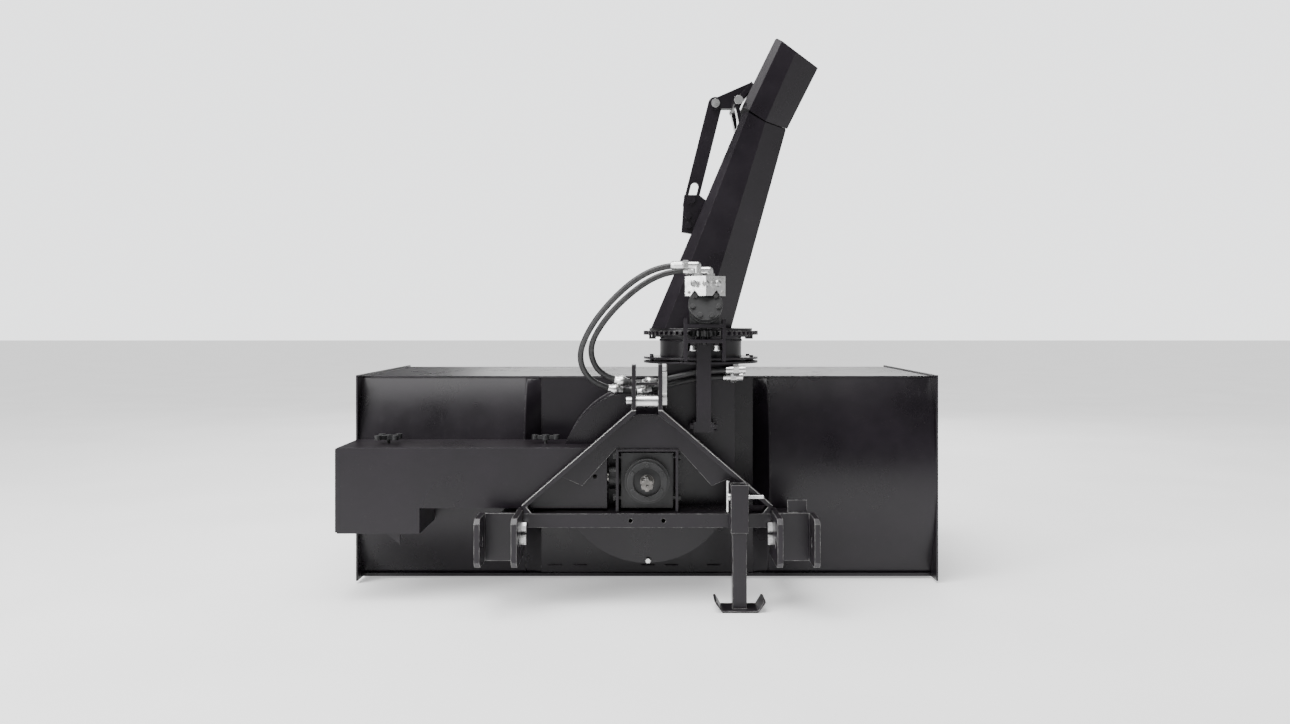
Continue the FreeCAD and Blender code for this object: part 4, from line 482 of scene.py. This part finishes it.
def bead(name, runs, width, finish="powder_coat"):
    """Rippled weld beads on the frame along several runs of corners, one mesh."""
    mesh = bpy.data.meshes.new(name)
    build = bmesh.new()
    for corners in runs:
        points = along_path(corners, BEAD_STEP)
        rows = []
        travelled = 0.0
        for k, point in enumerate(points):
            before = points[max(k - 1, 0)]
            after = points[min(k + 1, len(points) - 1)]
            travelled += (point - before).length
            tangent = (after - before).normalized()
            across = tangent.orthogonal().normalized()
            other = tangent.cross(across)
            fade = min(1.0, (k + 0.6) / 3, (len(points) - k - 0.4) / 3)
            ripple = 1.0 - 0.26 * (travelled / RIPPLE % 1.0)
            radius = width / 2 * fade * ripple
            rows.append([build.verts.new(point + (across * math.cos(a) + other * math.sin(a)) * radius)
                         for a in (2 * math.pi * n / BEAD_SIDES for n in range(BEAD_SIDES))])
        for lower, upper in zip(rows, rows[1:]):
            for n in range(BEAD_SIDES):
                beside = (n + 1) % BEAD_SIDES
                face = build.faces.new((lower[n], lower[beside], upper[beside], upper[n]))
                face.smooth = True
        build.faces.new(list(reversed(rows[0])))
        build.faces.new(rows[-1])
    bmesh.ops.recalc_face_normals(build, faces=build.faces)
    build.to_mesh(mesh)
    build.free()
    mesh.materials.append(FINISH[finish])
    made = bpy.data.objects.new(name, mesh)
    bpy.context.scene.collection.objects.link(made)
    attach(made, "frame")


def drum_welds():
    """Weld round the drum's back, a black bead painted round its cover as the shadow line under the rim, and
    the stitches under it.
    """
    low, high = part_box("fan_drum")
    back_y = high.y - 0.0005
    radius = high.x
    centre = ((low.x + high.x) / 2, low.z + radius)
    bead("drum_weld", [arc_path(centre, radius, 92, 360, back_y),
                       [(radius, back_y, centre[1]), (radius, back_y, DRUM_WELD_FOOT)]], 0.010)
    # Painted shadow: a black rubber-finish bead just inside the cover's rim stands for the shade in the gap
    # under the rim.
    rim_shadow_arc = arc_path(centre, radius - RIM_SHADOW_WIDTH / 2, 70, 356, low.y + 0.001)
    bead("drum_rim_painted_shadow", [rim_shadow_arc], RIM_SHADOW_WIDTH, "hose_rubber")
    stitch_y = back_y - 0.001
    bead("foot_stitches", [[(x, stitch_y, STITCH_Z), (x + STITCH_LENGTH, stitch_y, STITCH_Z)]
                           for x in STITCH_X], 0.007)


def hitch_welds():
    """Welds of the jack's sleeve, the mast's ears and web, and the clevises."""
    bar_low, bar_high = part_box("lower_cross_member")
    sleeve_low, sleeve_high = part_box("jack_sleeve")
    bead("jack_sleeve_welds", [[(x, bar_low.y, bar_low.z + 0.003), (x, bar_low.y, bar_high.z - 0.003)]
                               for x in (sleeve_low.x, sleeve_high.x)], 0.006)
    ear_low, ear_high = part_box("mast_ears")
    ear_x = max(abs(ear_low.x), abs(ear_high.x))
    for side, name in ((-1, "left"), (1, "right")):
        bead(name + "_ear_weld", [[(ear_x * side, ear_low.y + 0.004, ear_low.z),
                                   (ear_x * side, ear_high.y - 0.004, ear_low.z)]], 0.007)
        low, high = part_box(name + "_lower_clevis")
        web_y = low.y + CLEVIS_WEB
        inner = min(abs(low.x), abs(high.x)) + CLEVIS_PLATE
        outer = max(abs(low.x), abs(high.x)) - CLEVIS_PLATE
        foot, head = (low.z + height for height in CLEVIS_WELD)
        bead(name + "_clevis_welds", [[(x * side, web_y, foot), (x * side, web_y, head)]
                                      for x in (inner, outer)], 0.008)
    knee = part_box("mast_web_plate")[1]
    ear_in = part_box("pin_spacer")[1].x
    bead("web_weld", [[(-ear_in, knee.y - 0.008, knee.z), (ear_in, knee.y - 0.008, knee.z)]], 0.005)


def housing_welds():
    """Rings round the chute's neck and the seam along the back edge of the top plate."""
    low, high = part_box("chute_neck")
    centre = ((low.x + high.x) / 2, (low.y + high.y) / 2)
    angles = [2 * math.pi * k / NECK_SIDES for k in range(NECK_SIDES + 1)]
    for name, z in (("neck_foot_weld", low.z + 0.004), ("neck_top_weld", high.z - 0.016)):
        circle = [(centre[0] + NECK_RADIUS * math.cos(angle), centre[1] + NECK_RADIUS * math.sin(angle), z)
                  for angle in angles]
        bead(name, [circle], 0.006)
    low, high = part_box("top_plate")
    seam_z = high.z - 0.0045
    bead("top_seam", [[(low.x + TOP_SEAM_END, low.y, seam_z), (high.x - TOP_SEAM_END, low.y, seam_z)]], 0.004)


# ---------------------------------------------------------------- small fittings

DRAIN_PLUG = [(0.003, 0.0105), (0.007, 0.0080)]
PORT_PLUG = [(0.0035, 0.0095), (0.0035, 0.0062)]
PORT_SPACING = 0.034
LUG_BOLT = [(0.0095, 0.0122)]
BRACKET_NUT = [(0.004, 0.0135), (0.012, 0.0122)]
BRACKET_NUT_X = 0.036            # to each side of the bracket's middle
BRACKET_NUT_Z = 0.731
BLOCK_SCREW = [(0.004, 0.0045)]
BLOCK_SCREW_X = 0.047
TO_TRACTOR = (0, -1, 0)
SIDES = ((-1, "left"), (1, "right"))


def make_fittings():
    """The fan drum's drain plug, the valve block's port plugs and screws, and the drive post's bolts."""
    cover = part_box("fan_drum_cover")[0]
    turned_piece("drain_plug", rounded_steps(DRAIN_PLUG),
                 (0.003, cover.y + 0.001, cover.z + 0.008), TO_TRACTOR, "zinc", 6)
    block_low, block_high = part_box("valve_block")
    block_x = (block_low.x + block_high.x) / 2
    plug_z = (block_low.z + block_high.z) / 2 + 0.008
    for k in range(3):
        turned_piece("port_plug_" + str(k + 1), rounded_steps(PORT_PLUG),
                     (block_x + (k - 1) * PORT_SPACING, block_low.y + 0.0045, plug_z), TO_TRACTOR, "zinc", 24)
    post_low, post_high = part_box("drive_post")
    turned_piece("lug_bolt", rounded_steps(LUG_BOLT),
                 (post_high.x - 0.009, post_low.y + 0.0222, post_low.z + 0.016), (1, 0, 0), "zinc", 6)
    bracket_low, bracket_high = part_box("motor_bracket")
    post_x = (bracket_low.x + bracket_high.x) / 2
    for side, word in SIDES:
        turned_piece("bracket_nut_" + word, rounded_steps(BRACKET_NUT),
                     (post_x + side * BRACKET_NUT_X, bracket_low.y + 0.018, BRACKET_NUT_Z),
                     (0, 0, 1), "zinc", 6)
    for side, word in SIDES:
        turned_piece("block_screw_" + word, rounded_steps(BLOCK_SCREW),
                     (block_x + side * BLOCK_SCREW_X, block_low.y + 0.0035, block_low.z + 0.012), TO_TRACTOR,
                     "drive_steel", 20)


# ---------------------------------------------------------------- floor and light

SUN_ENERGY = 3.1
ROOM_LIGHT = 0.20                # the studio's own light on the object
BACKDROP = 2.6                   # brightness of the plain backdrop


def make_floor():
    mesh = bpy.data.meshes.new("floor")
    build = bmesh.new()
    bmesh.ops.create_grid(build, x_segments=2, y_segments=2, size=40.0)
    build.to_mesh(mesh)
    build.free()
    floor = bpy.data.objects.new("floor", mesh)
    bpy.context.scene.collection.objects.link(floor)
    mesh.materials.append(floor_finish("pale_floor"))


def area_light(name, at, aim, size, power):
    data = bpy.data.lights.new(name, "AREA")
    data.shape = "RECTANGLE"
    data.size, data.size_y = size
    data.energy = power
    made = bpy.data.objects.new(name, data)
    made.location = at
    made.rotation_euler = (Vector(aim) - Vector(at)).to_track_quat("-Z", "Y").to_euler()
    bpy.context.scene.collection.objects.link(made)


def make_light():
    area_light("top_softbox", (-0.6, -1.2, 4.0), (0.0, -0.6, 0.5), (3.4, 2.2), 170.0)
    area_light("left_softbox", (-4.2, -3.9, 2.6), (0.0, -0.8, 0.9), (2.2, 2.8), 240.0)
    area_light("right_softbox", (4.8, -1.4, 2.6), (0.4, -0.5, 0.7), (1.0, 2.6), 30.0)
    area_light("back_softbox", (0.5, 4.6, 3.0), (0.0, 0.0, 0.6), (4.0, 2.5), 170.0)
    data = bpy.data.lights.new("soft_sun", "SUN")
    data.energy = SUN_ENERGY
    data.angle = math.radians(50)
    sun = bpy.data.objects.new("soft_sun", data)
    sun.rotation_euler = (math.radians(24), math.radians(-20), 0)
    bpy.context.scene.collection.objects.link(sun)
    world = bpy.data.worlds.new("studio")
    world.use_nodes = True
    tree = world.node_tree
    background = tree.nodes["Background"]
    background.inputs["Color"].default_value = (0.94, 0.95, 0.96, 1.0)
    rays = tree.nodes.new("ShaderNodeLightPath")
    level = tree.nodes.new("ShaderNodeMapRange")
    level.inputs["To Min"].default_value = ROOM_LIGHT
    level.inputs["To Max"].default_value = BACKDROP
    tree.links.new(rays.outputs["Is Camera Ray"], level.inputs["Value"])
    tree.links.new(level.outputs["Result"], background.inputs["Strength"])
    bpy.context.scene.world = world


# ---------------------------------------------------------------- build

make_camera()
make_floor()
make_light()
paint_nodes()
make_hoses()
drum_welds()
hitch_welds()
housing_welds()
make_fittings()
